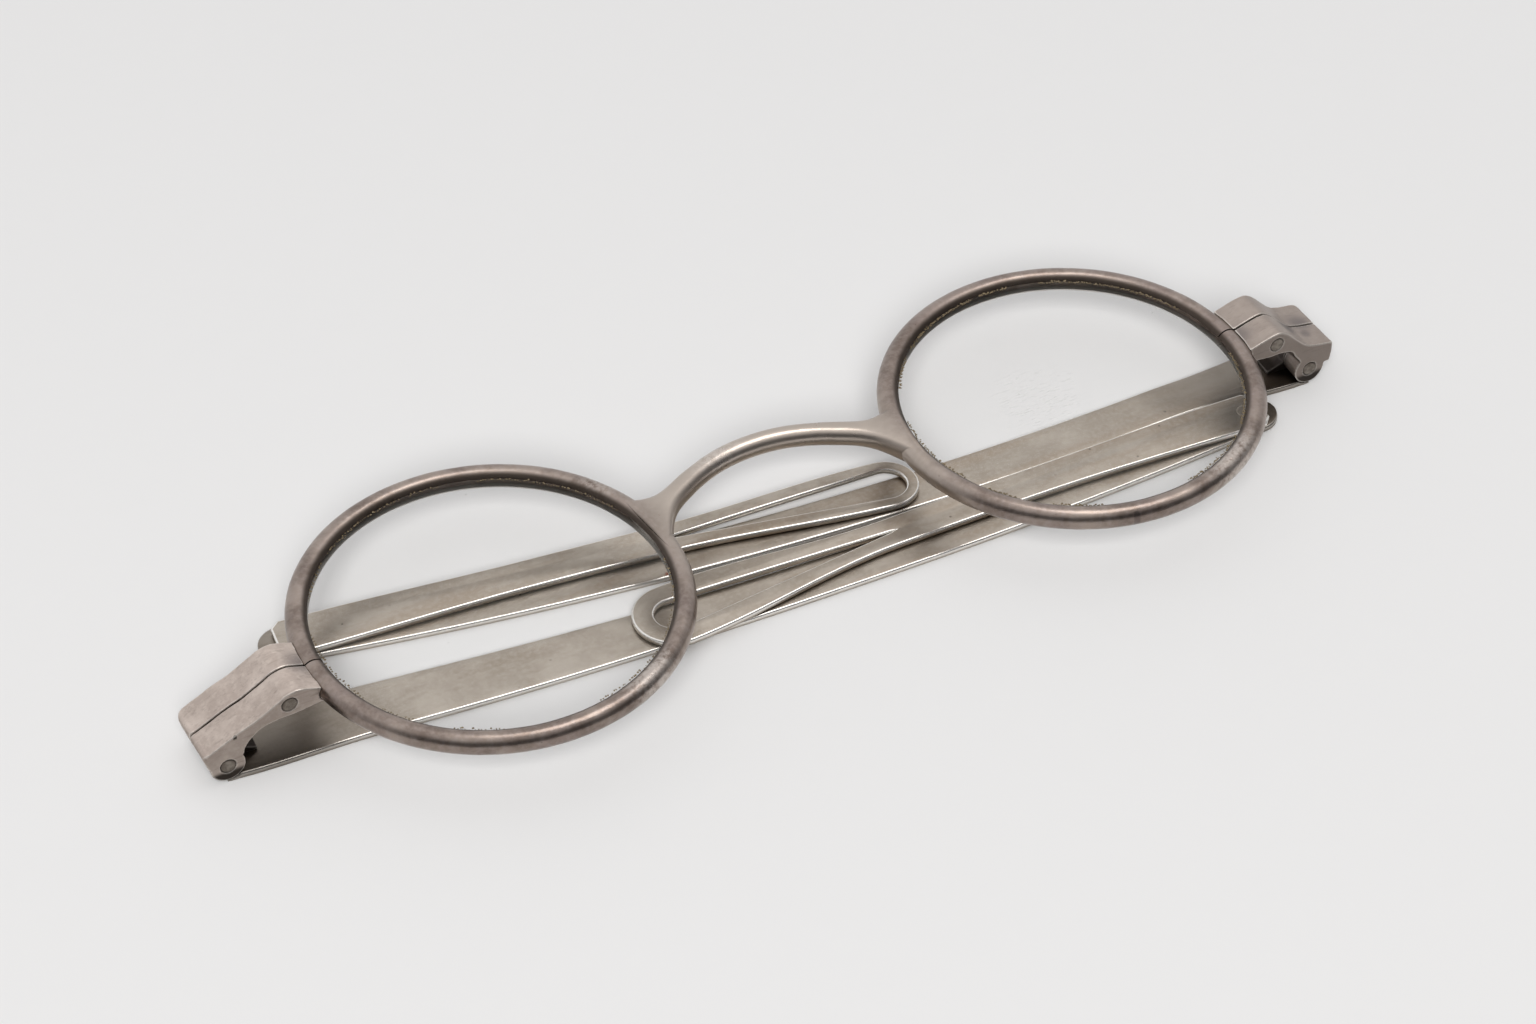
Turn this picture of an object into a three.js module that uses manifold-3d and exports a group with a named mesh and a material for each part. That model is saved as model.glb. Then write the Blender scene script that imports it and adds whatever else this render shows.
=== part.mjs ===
// Folding spectacles with round lenses, an arched bridge and two-piece temples.
// They lie folded with the front uppermost: the table is z = 0, the nose points along -Y.
// Each temple is a bowed strip hinged on the end piece, with an extension that turns on a pin
// at the strip's far end and lies folded back on top of it.
import * as THREE from 'three';
import { mergeVertices } from 'three/addons/utils/BufferGeometryUtils.js';
import Module from 'manifold-3d';

const wasm = await Module();
wasm.setup();

const DEGREE = Math.PI / 180;

// Rims and lenses, in millimetres
const PUPIL_DISTANCE = 59; // between the rim centres
const RIM_RADIUS = 16.85; // of the wire's centre line
const RIM_WIRE = 2.1; // wire diameter
const RIM_HEIGHT = 6.3; // of the wire's centre line above the table
const RIM_SPLIT = 0.16; // saw cut between the closing blocks
const GROOVE_DEPTH = 0.75; // of the lens groove in the wire
const LENS_EDGE = 0.8; // edge thickness
const LENS_CENTRE = 1.8; // centre thickness
const LENS_CLEARANCE = 0.06; // around the edge in its groove

// Bridge
const BRIDGE_WIRE = 2.06; // width of the arch
const BRIDGE_THICKNESS = 2;
const BRIDGE_RISE = 7.68; // of the arch's centre line above the rim centres
const BRIDGE_ARCH_RADIUS = 15; // of the arch's centre line
const BRIDGE_ARCH_HALF = 7; // half the length of the plain arch
const FLARE_TOP = 21 * DEGREE; // where the flare's upper edge enters the wire
const FLARE_KNEE = 16.3 * DEGREE; // direction of its upper hollow from the rim's centre
const FLARE_CALF = 7 * DEGREE; // direction of its lower hollow
const FLARE_FOOT = -3 * DEGREE; // where its lower edge enters the wire
const FLARE_HOLLOW = 1.5; // from the rim to both hollows
const FLARE_SINK = 1.1; // of the flare into the wire before it is cut to fit
const SOLDER_CLEARANCE = 0.05; // between the wire and what is soldered to it

// End pieces: two closing blocks a side, joined by a pin and pierced by the hinge pin
const LEFT_ARM = 8.3; // from the rim's outer edge to the hinge pin
const RIGHT_ARM = 6.8;
const BLOCK_WIDTH = 6.4; // of both halves together
const BLOCK_SPLIT = 0.16; // gap between the halves
const BLOCK_OVERHANG = 2.3; // of the outer corner past the hinge pin
const LEFT_END_RISE = 2; // of the outer corner above the hinge pin
const RIGHT_END_RISE = 2.4;
const END_ROUND = 0.5; // radius of the outer corner
const SHOULDER_OVERHANG = 1.95; // of the stop that the open temple meets
const ARM_CREST = 1.45; // of the arm above the wire's centre line
const ARM_DROP = 1.15; // of its underside below the wire's centre line
const ARM_END = 1.3; // arm thickness at the rim
const ARM_SETTLE = 0.1; // of the arm's end below the wire's centre line
const PIN_RADIUS = 0.7; // block pins and hinge pins
const PIN_INSET = 2.5; // of the block pin from the rim
const PIN_FIT = 0.03; // around a pin that is fixed in its hole
const PIN_PLAY = 0.05; // around a pin that a piece turns on

// Temple hinges
const HINGE_CANT = 4.15 * DEGREE; // of the hinge pins, so that the folded temples lie side by side
const KNUCKLE_RADIUS = 1.6;
const KNUCKLE_WIDTH = 2.04; // of the temple's own knuckle
const KNUCKLE_PLAY = 0.08; // around and beside a knuckle
const FOOT_LENGTH = 2.2; // of the knuckle's foot along the strip
const FOOT_THICKNESS = 0.3; // at its tip
const FOOT_SPRING = 0.28; // of the foot's root below the hinge pin
const LIP_THICKNESS = 0.27; // of the strip under the knuckles
const LIP_REACH = 0.15; // of the strip past the hinge pin
const STOP_CLEARANCE = 0.06; // between the open temple's lip and the shoulder

// Temples
const LEFT_REACH = 101.5; // from the hinge pin to the turn pin
const RIGHT_REACH = 99;
const TEMPLE_OVERHANG = 1; // of the strip past the turn pin, before its round end
const TEMPLE_RISE = 1.4 * DEGREE; // of the turn pin above square
const LEFT_BOW = 2.9; // sag of the strip at its middle
const RIGHT_BOW = 3.6;
const TEMPLE_WIDTH = 4.5;
const HEAD_WIDTH = 6.2; // at the hinge
const LEFT_TAPER = 65; // length over which the strip narrows from the hinge
const RIGHT_TAPER = 12;
const HEAD_OFFSET = 1; // of the strip to the side, past the head
const OFFSET_LENGTH = 15; // over which it moves aside
const STRIP_THICKNESS = 0.65;
const STRIP_CLEARANCE = 0.06; // between the strip and the extension on it

// Extensions
const LEFT_EXTENSION = 63.2; // from the turn pin to the loop's end
const RIGHT_EXTENSION = 59.2;
const LEFT_TURN = 1.9 * DEGREE; // of the folded extension off the temple's chord
const RIGHT_TURN = 2 * DEGREE;
const LEFT_RISE = 0.7; // of the extension at its middle
const RIGHT_RISE = 0.3;
const EXTENSION_WIDTH = 3.6;
const EXTENSION_HEAD = 4.6; // width at the turn pin
const EXTENSION_TAIL = 1.7; // past the turn pin
const TAIL_CHAMFER = 0.8;
const LEFT_LOOP = 7.6; // width of the loop
const RIGHT_LOOP = 6.2;
const LOOP_FLARE = 22; // length over which the strip widens into the loop
const LEFT_LOOP_ARM = 2; // width of the loop's arms
const RIGHT_LOOP_ARM = 1.15;
const LEFT_OPENING = 24.5; // length of the loop's opening
const RIGHT_OPENING = 24;
const TURN_PIN_RADIUS = 0.8;
const TURN_HEAD_RADIUS = 1.15;
const TURN_HEAD_HEIGHT = 0.15;

// How finely curves are cut
const RIM_SEGMENTS = 64;
const WIRE_SEGMENTS = 14;
const PIN_SEGMENTS = 24;
const LENS_STEPS = 4;
const BRIDGE_STEPS = 40;
const ARM_STEPS = 20;
const STRIP_STEPS = 26;
const END_STEPS = 12;
const HEAD_STEPS = 4;
const CORNER_STEPS = 4;

// Side profile of an arm, from the outer corner to the rim and back to the knuckle,
// as shares of its length and of the climb from corner to crest, of its length and of the drop of its
// underside, and of the knuckle's radius
const LEFT_ARM_TOP = [[0.145, 0.38], [0.32, 0.525], [0.55, 0.8], [0.665, 0.945], [0.777, 1], [0.887, 0.96]];
const RIGHT_ARM_TOP = [[0.08, 0.16], [0.285, 0.51], [0.43, 0.8], [0.56, 0.98], [0.66, 1], [0.8, 0.94]];
const ARM_UNDER = [[0.783, 0.91], [0.518, 1], [0.361, 1.3]];
const ARM_NECK = [[1.25, 1.34], [0.906, 0.875], [0.839, 0.545]];

// Places that follow from the sizes
const WIRE_RADIUS = RIM_WIRE / 2;
const RIM_OUTER = RIM_RADIUS + WIRE_RADIUS;
const HOLLOW_RADIUS = KNUCKLE_RADIUS + KNUCKLE_PLAY;
const HINGE_Z = LIP_THICKNESS + HOLLOW_RADIUS;
const EXTENSION_Z = STRIP_THICKNESS + STRIP_CLEARANCE;
const GROOVE_RADIUS = RIM_RADIUS - WIRE_RADIUS + GROOVE_DEPTH;
const GROOVE_WIDTH = LENS_EDGE + 2 * LENS_CLEARANCE;
const CENTRE_X = (LEFT_ARM - RIGHT_ARM) / 2; // brings the middle of the whole width to x = 0

const SIDES = [
  {
    name: 'left', hand: -1, arm: LEFT_ARM, armTop: LEFT_ARM_TOP, endRise: LEFT_END_RISE,
    reach: LEFT_REACH, bow: LEFT_BOW, taper: LEFT_TAPER,
    extension: LEFT_EXTENSION, turn: LEFT_TURN, rise: LEFT_RISE, opening: LEFT_OPENING,
    loop: LEFT_LOOP, loopArm: LEFT_LOOP_ARM,
  },
  {
    name: 'right', hand: 1, arm: RIGHT_ARM, armTop: RIGHT_ARM_TOP, endRise: RIGHT_END_RISE,
    reach: RIGHT_REACH, bow: RIGHT_BOW, taper: RIGHT_TAPER,
    extension: RIGHT_EXTENSION, turn: RIGHT_TURN, rise: RIGHT_RISE, opening: RIGHT_OPENING,
    loop: RIGHT_LOOP, loopArm: RIGHT_LOOP_ARM,
  },
];

const FINISHES = {
  tarnished: { color: 0x8f8379, roughness: 0.38, metalness: 1 },
  silver: { color: 0xa6a49b, roughness: 0.34, metalness: 1 },
  beige: { color: 0x9c9287, roughness: 0.42, metalness: 1 },
  pin: { color: 0x7a7066, roughness: 0.5, metalness: 1 },
  glass: { color: 0xf2f4f0, roughness: 0.05, metalness: 0, transparent: true, opacity: 0.3 },
};

// Triangles with three different corners: those on a turned shape's axis shrink to a line
function wholeTriangles(index) {
  const kept = [];
  for (let i = 0; i < index.length; i += 3) {
    const corners = index.slice(i, i + 3);
    if (new Set(corners).size === 3) {
      kept.push(...corners);
    }
  }
  return kept;
}

// Closed geometry to a solid for cutting, and back
function solid(geometry) {
  const bare = geometry.index ? geometry.toNonIndexed() : geometry.clone();
  bare.deleteAttribute('normal');
  bare.deleteAttribute('uv');
  const merged = mergeVertices(bare, 1e-5);
  const vertProperties = new Float32Array(merged.attributes.position.array);
  const triVerts = new Uint32Array(wholeTriangles(merged.index.array));
  return new wasm.Manifold(new wasm.Mesh({ numProp: 3, vertProperties, triVerts }));
}

function geometryOf(manifold) {
  const mesh = manifold.getMesh();
  const geometry = new THREE.BufferGeometry();
  geometry.setAttribute('position', new THREE.BufferAttribute(new Float32Array(mesh.vertProperties), 3));
  geometry.setIndex(new THREE.BufferAttribute(new Uint32Array(mesh.triVerts), 1));
  return geometry;
}

// The same shape seen in a mirror across x = 0, with its faces turned to point out again
function mirrored(geometry) {
  const copy = geometry.clone().scale(-1, 1, 1);
  const index = copy.index.array;
  for (let i = 0; i < index.length; i += 3) {
    [index[i], index[i + 1]] = [index[i + 1], index[i]];
  }
  return copy;
}

function piece(name, geometry, finish) {
  const mesh = new THREE.Mesh(geometry, new THREE.MeshStandardMaterial(FINISHES[finish]));
  mesh.name = name;
  return mesh;
}

function vectors(points) {
  return points.map(([x, y]) => new THREE.Vector2(x, y));
}

function shapeOf(points) {
  return new THREE.Shape(vectors(points));
}

function plate(shape, thickness) {
  return new THREE.ExtrudeGeometry(shape, { depth: thickness, bevelEnabled: false });
}

// Plate of an x-z outline standing from one y to another
function standingPlate(points, fromY, toY) {
  return plate(shapeOf(points), toY - fromY).rotateX(Math.PI / 2).translate(0, toY, 0);
}

function box(low, high) {
  const size = high.map((value, axis) => value - low[axis]);
  const middle = high.map((value, axis) => (value + low[axis]) / 2);
  return new THREE.BoxGeometry(...size).translate(...middle);
}

// Cylinder along the hinge pin, from one place on the pin to another
function alongPin(radius, from, to, cant) {
  return new THREE.CylinderGeometry(radius, radius, to - from, PIN_SEGMENTS)
    .translate(0, (from + to) / 2, 0)
    .rotateZ(cant)
    .translate(0, 0, HINGE_Z);
}

function upright(radius, fromZ, toZ) {
  return new THREE.CylinderGeometry(radius, radius, toZ - fromZ, PIN_SEGMENTS)
    .rotateX(Math.PI / 2)
    .translate(0, 0, (fromZ + toZ) / 2);
}

function blockPin(radius, halfLength, arm) {
  return new THREE.CylinderGeometry(radius, radius, 2 * halfLength, PIN_SEGMENTS)
    .translate(arm - PIN_INSET, 0, RIM_HEIGHT + (ARM_CREST - ARM_DROP) / 2);
}

function ring(profile) {
  return new THREE.LatheGeometry(vectors([...profile, profile[0]]), RIM_SEGMENTS).rotateX(Math.PI / 2);
}

// Full round wire of a rim, used to fit what is soldered to it
function wireRing(radius) {
  const profile = [];
  for (let i = 0; i < WIRE_SEGMENTS; i += 1) {
    const angle = (i + 0.5) * 2 * Math.PI / WIRE_SEGMENTS;
    profile.push([RIM_RADIUS + radius * Math.cos(angle), radius * Math.sin(angle)]);
  }
  return ring(profile).translate(0, 0, RIM_HEIGHT);
}

// Rim in its own frame, with its groove inside and its split at x = -RIM_RADIUS
function rimGeometry() {
  const mouth = Math.asin(GROOVE_WIDTH / RIM_WIRE);
  const profile = [[GROOVE_RADIUS, GROOVE_WIDTH / 2], [GROOVE_RADIUS, -GROOVE_WIDTH / 2]];
  for (let i = 0; i <= WIRE_SEGMENTS; i += 1) {
    const angle = -Math.PI + mouth + i * 2 * (Math.PI - mouth) / WIRE_SEGMENTS;
    profile.push([RIM_RADIUS + WIRE_RADIUS * Math.cos(angle), WIRE_RADIUS * Math.sin(angle)]);
  }
  const wire = solid(ring(profile).translate(0, 0, RIM_HEIGHT));
  const low = [-RIM_OUTER - RIM_WIRE, -RIM_SPLIT / 2, RIM_HEIGHT - RIM_WIRE];
  const high = [-RIM_RADIUS + RIM_WIRE, RIM_SPLIT / 2, RIM_HEIGHT + RIM_WIRE];
  return geometryOf(wire.subtract(solid(box(low, high))));
}

function lensGeometry() {
  const radius = GROOVE_RADIUS - LENS_CLEARANCE;
  const upper = [];
  for (let i = LENS_STEPS; i >= 0; i -= 1) {
    const share = i / LENS_STEPS;
    const half = LENS_CENTRE / 2 - (LENS_CENTRE - LENS_EDGE) / 2 * share * share;
    upper.push([share * radius, half]);
  }
  const lower = upper.map(([x, half]) => [x, -half]).reverse();
  const lens = new THREE.LatheGeometry(vectors([...lower, ...upper]), RIM_SEGMENTS);
  return geometryOf(solid(lens.rotateX(Math.PI / 2).translate(0, 0, RIM_HEIGHT)));
}

// Point of the left rim's outer edge, sunk towards the wire's centre line
function onLeftRim(angle, sink) {
  const radius = RIM_OUTER - sink;
  return [-PUPIL_DISTANCE / 2 + radius * Math.cos(angle), radius * Math.sin(angle)];
}

function archPoint(x, offset) {
  const radius = BRIDGE_ARCH_RADIUS + offset;
  return [x, BRIDGE_RISE - BRIDGE_ARCH_RADIUS + Math.sqrt(radius * radius - x * x)];
}

// Upper and lower edge of the bridge: an arch that flares into a fork at each rim
function bridgeEdges() {
  const stations = [-1, -0.5, 0, 0.5, 1].map((share) => share * BRIDGE_ARCH_HALF);
  const edge = (end, hollow, offset) => new THREE.SplineCurve(vectors([
    end,
    hollow,
    ...stations.map((x) => archPoint(x, offset)),
    [-hollow[0], hollow[1]],
    [-end[0], end[1]],
  ]));
  return [
    edge(onLeftRim(FLARE_TOP, FLARE_SINK), onLeftRim(FLARE_KNEE, -FLARE_HOLLOW), BRIDGE_WIRE / 2),
    edge(onLeftRim(FLARE_FOOT, FLARE_SINK), onLeftRim(FLARE_CALF, -FLARE_HOLLOW), -BRIDGE_WIRE / 2),
  ];
}

// Bar with rounded sides drawn out between the bridge's edges, from the left rim to the right
function bridgeBar() {
  const [upper, lower] = bridgeEdges();
  const firstAngle = Math.PI / WIRE_SEGMENTS;
  const bar = new THREE.CylinderGeometry(1, 1, 1, WIRE_SEGMENTS, BRIDGE_STEPS, false, firstAngle);
  const corners = bar.attributes.position;
  for (let i = 0; i < corners.count; i += 1) {
    const share = 0.5 - corners.getY(i);
    const across = upper.getPoint(share).sub(lower.getPoint(share));
    const half = across.length() / 2;
    const round = Math.min(BRIDGE_THICKNESS / 2, half);
    const aside = Math.sign(corners.getX(i)) * (half - round) + corners.getX(i) * round;
    const middle = upper.getPoint(share).add(lower.getPoint(share)).divideScalar(2);
    const place = middle.addScaledVector(across.normalize(), aside);
    corners.setXYZ(i, place.x, place.y, RIM_HEIGHT + corners.getZ(i) * BRIDGE_THICKNESS / 2);
  }
  return bar;
}

function bridgeGeometry() {
  let bridge = solid(bridgeBar());
  for (const side of [-1, 1]) {
    const wire = wireRing(WIRE_RADIUS + SOLDER_CLEARANCE).translate(side * PUPIL_DISTANCE / 2, 0, 0);
    bridge = bridge.subtract(solid(wire));
  }
  return geometryOf(bridge);
}

// The pieces below are drawn for the left side, with x from the hinge pin towards the bridge.

// Side view of a closing block without its knuckle
function blockOutline({ arm, armTop, endRise }) {
  const shoulder = HINGE_Z + LIP_REACH + STOP_CLEARANCE;
  const corner = HINGE_Z + endRise;
  const crest = RIM_HEIGHT + ARM_CREST;
  const rimX = arm + WIRE_RADIUS;
  const rimZ = RIM_HEIGHT - ARM_SETTLE;
  const root = KNUCKLE_RADIUS / 4;
  const upper = new THREE.SplineCurve(vectors([
    [END_ROUND - BLOCK_OVERHANG, corner],
    ...armTop.map(([along, climb]) => [along * arm, THREE.MathUtils.lerp(corner, crest, climb)]),
    [rimX, rimZ + ARM_END / 2],
  ]));
  const lower = new THREE.SplineCurve(vectors([
    [rimX, rimZ - ARM_END / 2],
    ...ARM_UNDER.map(([along, drop]) => [along * arm, RIM_HEIGHT - drop * ARM_DROP]),
    ...ARM_NECK.map(([x, z]) => [x * KNUCKLE_RADIUS, HINGE_Z + z * KNUCKLE_RADIUS]),
  ]));
  const bend = [...upper.getPoints(ARM_STEPS), ...lower.getPoints(ARM_STEPS)].map(({ x, y }) => [x, y]);
  const rounding = [];
  for (let i = 0; i < CORNER_STEPS; i += 1) {
    const angle = i / CORNER_STEPS * Math.PI / 2;
    const [inward, down] = [1 - Math.cos(angle), 1 - Math.sin(angle)];
    rounding.push([END_ROUND * inward - BLOCK_OVERHANG, corner - END_ROUND * down]);
  }
  const stop = [[-root, HINGE_Z], [-root, shoulder], [-SHOULDER_OVERHANG, shoulder]];
  return [...stop, ...rounding, ...bend, [0, HINGE_Z]];
}

// One closing block: half is 1 for the one away from the nose, -1 for the other
function blockGeometry(side, half, cant) {
  const { arm } = side;
  const near = half * BLOCK_SPLIT / 2;
  const far = half * BLOCK_WIDTH / 2;
  const [fromY, toY] = [Math.min(near, far), Math.max(near, far)];
  const clear = KNUCKLE_WIDTH / 2 + KNUCKLE_PLAY;
  const knuckle = [half * clear, half * BLOCK_WIDTH].sort((a, b) => a - b);
  const slab = box([-BLOCK_WIDTH, fromY, 0], [arm + RIM_WIRE, toY, RIM_HEIGHT + RIM_WIRE]);
  const wire = wireRing(WIRE_RADIUS + SOLDER_CLEARANCE).translate(arm + RIM_OUTER, 0, 0);
  const block = solid(standingPlate(blockOutline(side), fromY, toY))
    .add(solid(alongPin(KNUCKLE_RADIUS, ...knuckle, cant)).intersect(solid(slab)))
    .subtract(solid(alongPin(HOLLOW_RADIUS, -clear, clear, cant)))
    .subtract(solid(alongPin(PIN_RADIUS + PIN_FIT, -BLOCK_WIDTH, BLOCK_WIDTH, cant)))
    .subtract(solid(blockPin(PIN_RADIUS + PIN_FIT, BLOCK_WIDTH, arm)))
    .subtract(solid(wire));
  return geometryOf(block);
}

function hingePinGeometry(cant) {
  const half = BLOCK_WIDTH / 2 / Math.cos(cant) - PIN_RADIUS * Math.sin(Math.abs(cant));
  return geometryOf(solid(alongPin(PIN_RADIUS, -half, half, cant)));
}

function blockPinGeometry(arm) {
  return geometryOf(solid(blockPin(PIN_RADIUS, BLOCK_WIDTH / 2, arm)));
}

function smooth(value, from, to) {
  return THREE.MathUtils.smoothstep(value, from, to);
}

// Outline of a bowed strip from its middle line and half width
function bowedOutline(from, to, middle, half) {
  const sides = [-1, 1].map((side) => {
    const points = [];
    for (let i = 0; i <= STRIP_STEPS; i += 1) {
      const along = THREE.MathUtils.lerp(from, to, i / STRIP_STEPS);
      points.push([along, middle(along) + side * half(along)]);
    }
    return points;
  });
  return { near: sides[0], far: sides[1].reverse() };
}

// Points of a round end, anticlockwise, without its first and last
function roundEnd(x, y, radius) {
  const points = [];
  for (let i = 1; i < END_STEPS; i += 1) {
    const angle = (i / END_STEPS - 0.5) * Math.PI;
    points.push([x + radius * Math.cos(angle), y + radius * Math.sin(angle)]);
  }
  return points;
}

// How far to the side the turn pin stands
function turnOffset(reach) {
  return reach * Math.tan(TEMPLE_RISE);
}

function templeMiddle(x, { reach, bow }) {
  const share = x / reach;
  const aside = HEAD_OFFSET * smooth(x, 0, OFFSET_LENGTH) * (1 - share);
  return aside + share * turnOffset(reach) - 4 * bow * share * (1 - share);
}

function templeHalf(x, taper) {
  return THREE.MathUtils.lerp(HEAD_WIDTH, TEMPLE_WIDTH, smooth(x, 0, taper)) / 2;
}

// Temple strip, hollowed where it passes under the knuckles
function templeGeometry(side) {
  const { reach } = side;
  const middle = (x) => templeMiddle(x, side);
  const endX = reach + TEMPLE_OVERHANG;
  const sides = bowedOutline(-LIP_REACH, endX, middle, (x) => templeHalf(x, side.taper));
  const end = roundEnd(endX, middle(endX), TEMPLE_WIDTH / 2);
  const strip = solid(plate(shapeOf([...sides.near, ...end, ...sides.far]), STRIP_THICKNESS));
  const hole = upright(TURN_PIN_RADIUS + PIN_FIT, -STRIP_THICKNESS, 2 * STRIP_THICKNESS)
    .translate(reach, turnOffset(reach), 0);
  return geometryOf(strip
    .subtract(solid(alongPin(HOLLOW_RADIUS, -HEAD_WIDTH, HEAD_WIDTH, 0)))
    .subtract(solid(hole)));
}

// Temple knuckle: a barrel on the hinge pin with a foot on the strip
function knuckleGeometry() {
  const half = KNUCKLE_WIDTH / 2;
  const drop = HINGE_Z - STRIP_THICKNESS;
  const heel = Math.sqrt(HOLLOW_RADIUS ** 2 - drop ** 2);
  const tip = heel + FOOT_LENGTH;
  const rootX = Math.sqrt(KNUCKLE_RADIUS ** 2 - FOOT_SPRING ** 2);
  const foot = [[rootX, HINGE_Z - FOOT_SPRING], [tip, STRIP_THICKNESS + FOOT_THICKNESS],
    [tip, STRIP_THICKNESS], [0, STRIP_THICKNESS], [0, HINGE_Z - FOOT_SPRING]];
  return geometryOf(solid(alongPin(KNUCKLE_RADIUS, -half, half, 0))
    .add(solid(standingPlate(foot, -half, half)))
    .subtract(solid(alongPin(PIN_RADIUS + PIN_PLAY, -BLOCK_WIDTH, BLOCK_WIDTH, 0))));
}

function turnPinGeometry() {
  const top = EXTENSION_Z + STRIP_THICKNESS + STRIP_CLEARANCE;
  const profile = [[0, 0], [TURN_PIN_RADIUS, 0], [TURN_PIN_RADIUS, top]];
  for (let i = 0; i < HEAD_STEPS; i += 1) {
    const angle = i / HEAD_STEPS * Math.PI / 2;
    profile.push([TURN_HEAD_RADIUS * Math.cos(angle), top + TURN_HEAD_HEIGHT * Math.sin(angle)]);
  }
  profile.push([0, top + TURN_HEAD_HEIGHT]);
  return geometryOf(solid(new THREE.LatheGeometry(vectors(profile), PIN_SEGMENTS).rotateX(Math.PI / 2)));
}

// Extension, drawn from its turn pin along x to the loop's end
function extensionGeometry({ extension: length, rise, opening: openLength, loop, loopArm }) {
  const loopHalf = loop / 2;
  const loopX = length - loopHalf;
  const middle = (x) => -4 * rise * (x / length) * (1 - x / length);
  const { lerp } = THREE.MathUtils;
  const neckHalf = (x) => lerp(EXTENSION_HEAD, EXTENSION_WIDTH, smooth(x, 0, LOOP_FLARE)) / 2;
  const half = (x) => lerp(neckHalf(x), loopHalf, smooth(x, loopX - LOOP_FLARE, loopX));
  const tail = EXTENSION_HEAD / 2 - TAIL_CHAMFER;
  const sides = bowedOutline(TAIL_CHAMFER - EXTENSION_TAIL, loopX, middle, half);
  const tailMiddle = middle(-EXTENSION_TAIL);
  const shape = shapeOf([[-EXTENSION_TAIL, tailMiddle + tail], [-EXTENSION_TAIL, tailMiddle - tail],
    ...sides.near, ...roundEnd(loopX, middle(loopX), loopHalf), ...sides.far]);
  const openHalf = loopHalf - loopArm;
  const openEnd = roundEnd(loopX, middle(loopX), openHalf);
  const tip = length - loopArm - openLength;
  const opening = [[tip, middle(tip)], [loopX, middle(loopX) - openHalf], ...openEnd,
    [loopX, middle(loopX) + openHalf]];
  const hollow = plate(shapeOf(opening), 3 * STRIP_THICKNESS).translate(0, 0, -STRIP_THICKNESS);
  const hole = upright(TURN_PIN_RADIUS + PIN_PLAY, -STRIP_THICKNESS, 2 * STRIP_THICKNESS);
  return geometryOf(solid(plate(shape, STRIP_THICKNESS))
    .subtract(solid(hollow))
    .subtract(solid(hole)));
}

// Temple of one side with its extension: hand is -1 for the left and 1 for the right
function templeGroup(side, place) {
  const { name, hand, reach } = side;
  const temple = new THREE.Group();
  temple.rotation.z = -HINGE_CANT;
  temple.add(piece(`${name}_temple`, place(templeGeometry(side)), 'silver'));
  temple.add(piece(`${name}_temple_knuckle`, place(knuckleGeometry()), 'beige'));

  const turn = new THREE.Group();
  turn.position.set(-hand * reach, turnOffset(reach), 0);
  turn.add(piece(`${name}_turn_pin`, place(turnPinGeometry()), 'pin'));
  const leaf = piece(`${name}_extension`, place(extensionGeometry(side)), 'silver');
  leaf.position.z = EXTENSION_Z;
  leaf.rotation.z = -hand * (Math.PI + TEMPLE_RISE + side.turn);
  turn.add(leaf);
  temple.add(turn);
  return temple;
}

// Everything on one side
function addSide(group, side) {
  const { name, hand, arm } = side;
  const place = hand < 0 ? (geometry) => geometry : mirrored;
  const cant = hand * HINGE_CANT;
  const end = new THREE.Group();
  end.position.x = hand * (PUPIL_DISTANCE / 2 + RIM_OUTER + arm);
  end.add(piece(`${name}_upper_block`, place(blockGeometry(side, 1, cant)), 'beige'));
  end.add(piece(`${name}_lower_block`, place(blockGeometry(side, -1, cant)), 'beige'));
  end.add(piece(`${name}_block_pin`, place(blockPinGeometry(arm)), 'pin'));
  end.add(piece(`${name}_hinge_pin`, place(hingePinGeometry(cant)), 'pin'));
  end.add(templeGroup(side, place));
  group.add(end);

  const eye = new THREE.Group();
  eye.position.x = hand * PUPIL_DISTANCE / 2;
  eye.add(piece(`${name}_rim`, place(rimGeometry()), 'tarnished'));
  eye.add(piece(`${name}_lens`, place(lensGeometry()), 'glass'));
  group.add(eye);
}

const spectacles = new THREE.Group();
spectacles.position.x = CENTRE_X;
spectacles.add(piece('bridge', bridgeGeometry(), 'tarnished'));
SIDES.forEach((side) => addSide(spectacles, side));

export default spectacles;
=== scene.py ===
# %% [markdown]
# # Folding spectacles in old silver
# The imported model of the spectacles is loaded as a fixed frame: a front with two round lenses, and two
# strip temples folded under it, each with a looped extension that turns on a pin. This lesson makes the
# fine surface of each piece around that frame, in metres and in the frame's own axes.

# %% Load the frame
from math import asin, cos, hypot, pi, radians, sin, sqrt, tan

import bmesh
import bpy
import numpy as np
from mathutils import Matrix, Vector, noise
from mathutils.geometry import tessellate_polygon


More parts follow.
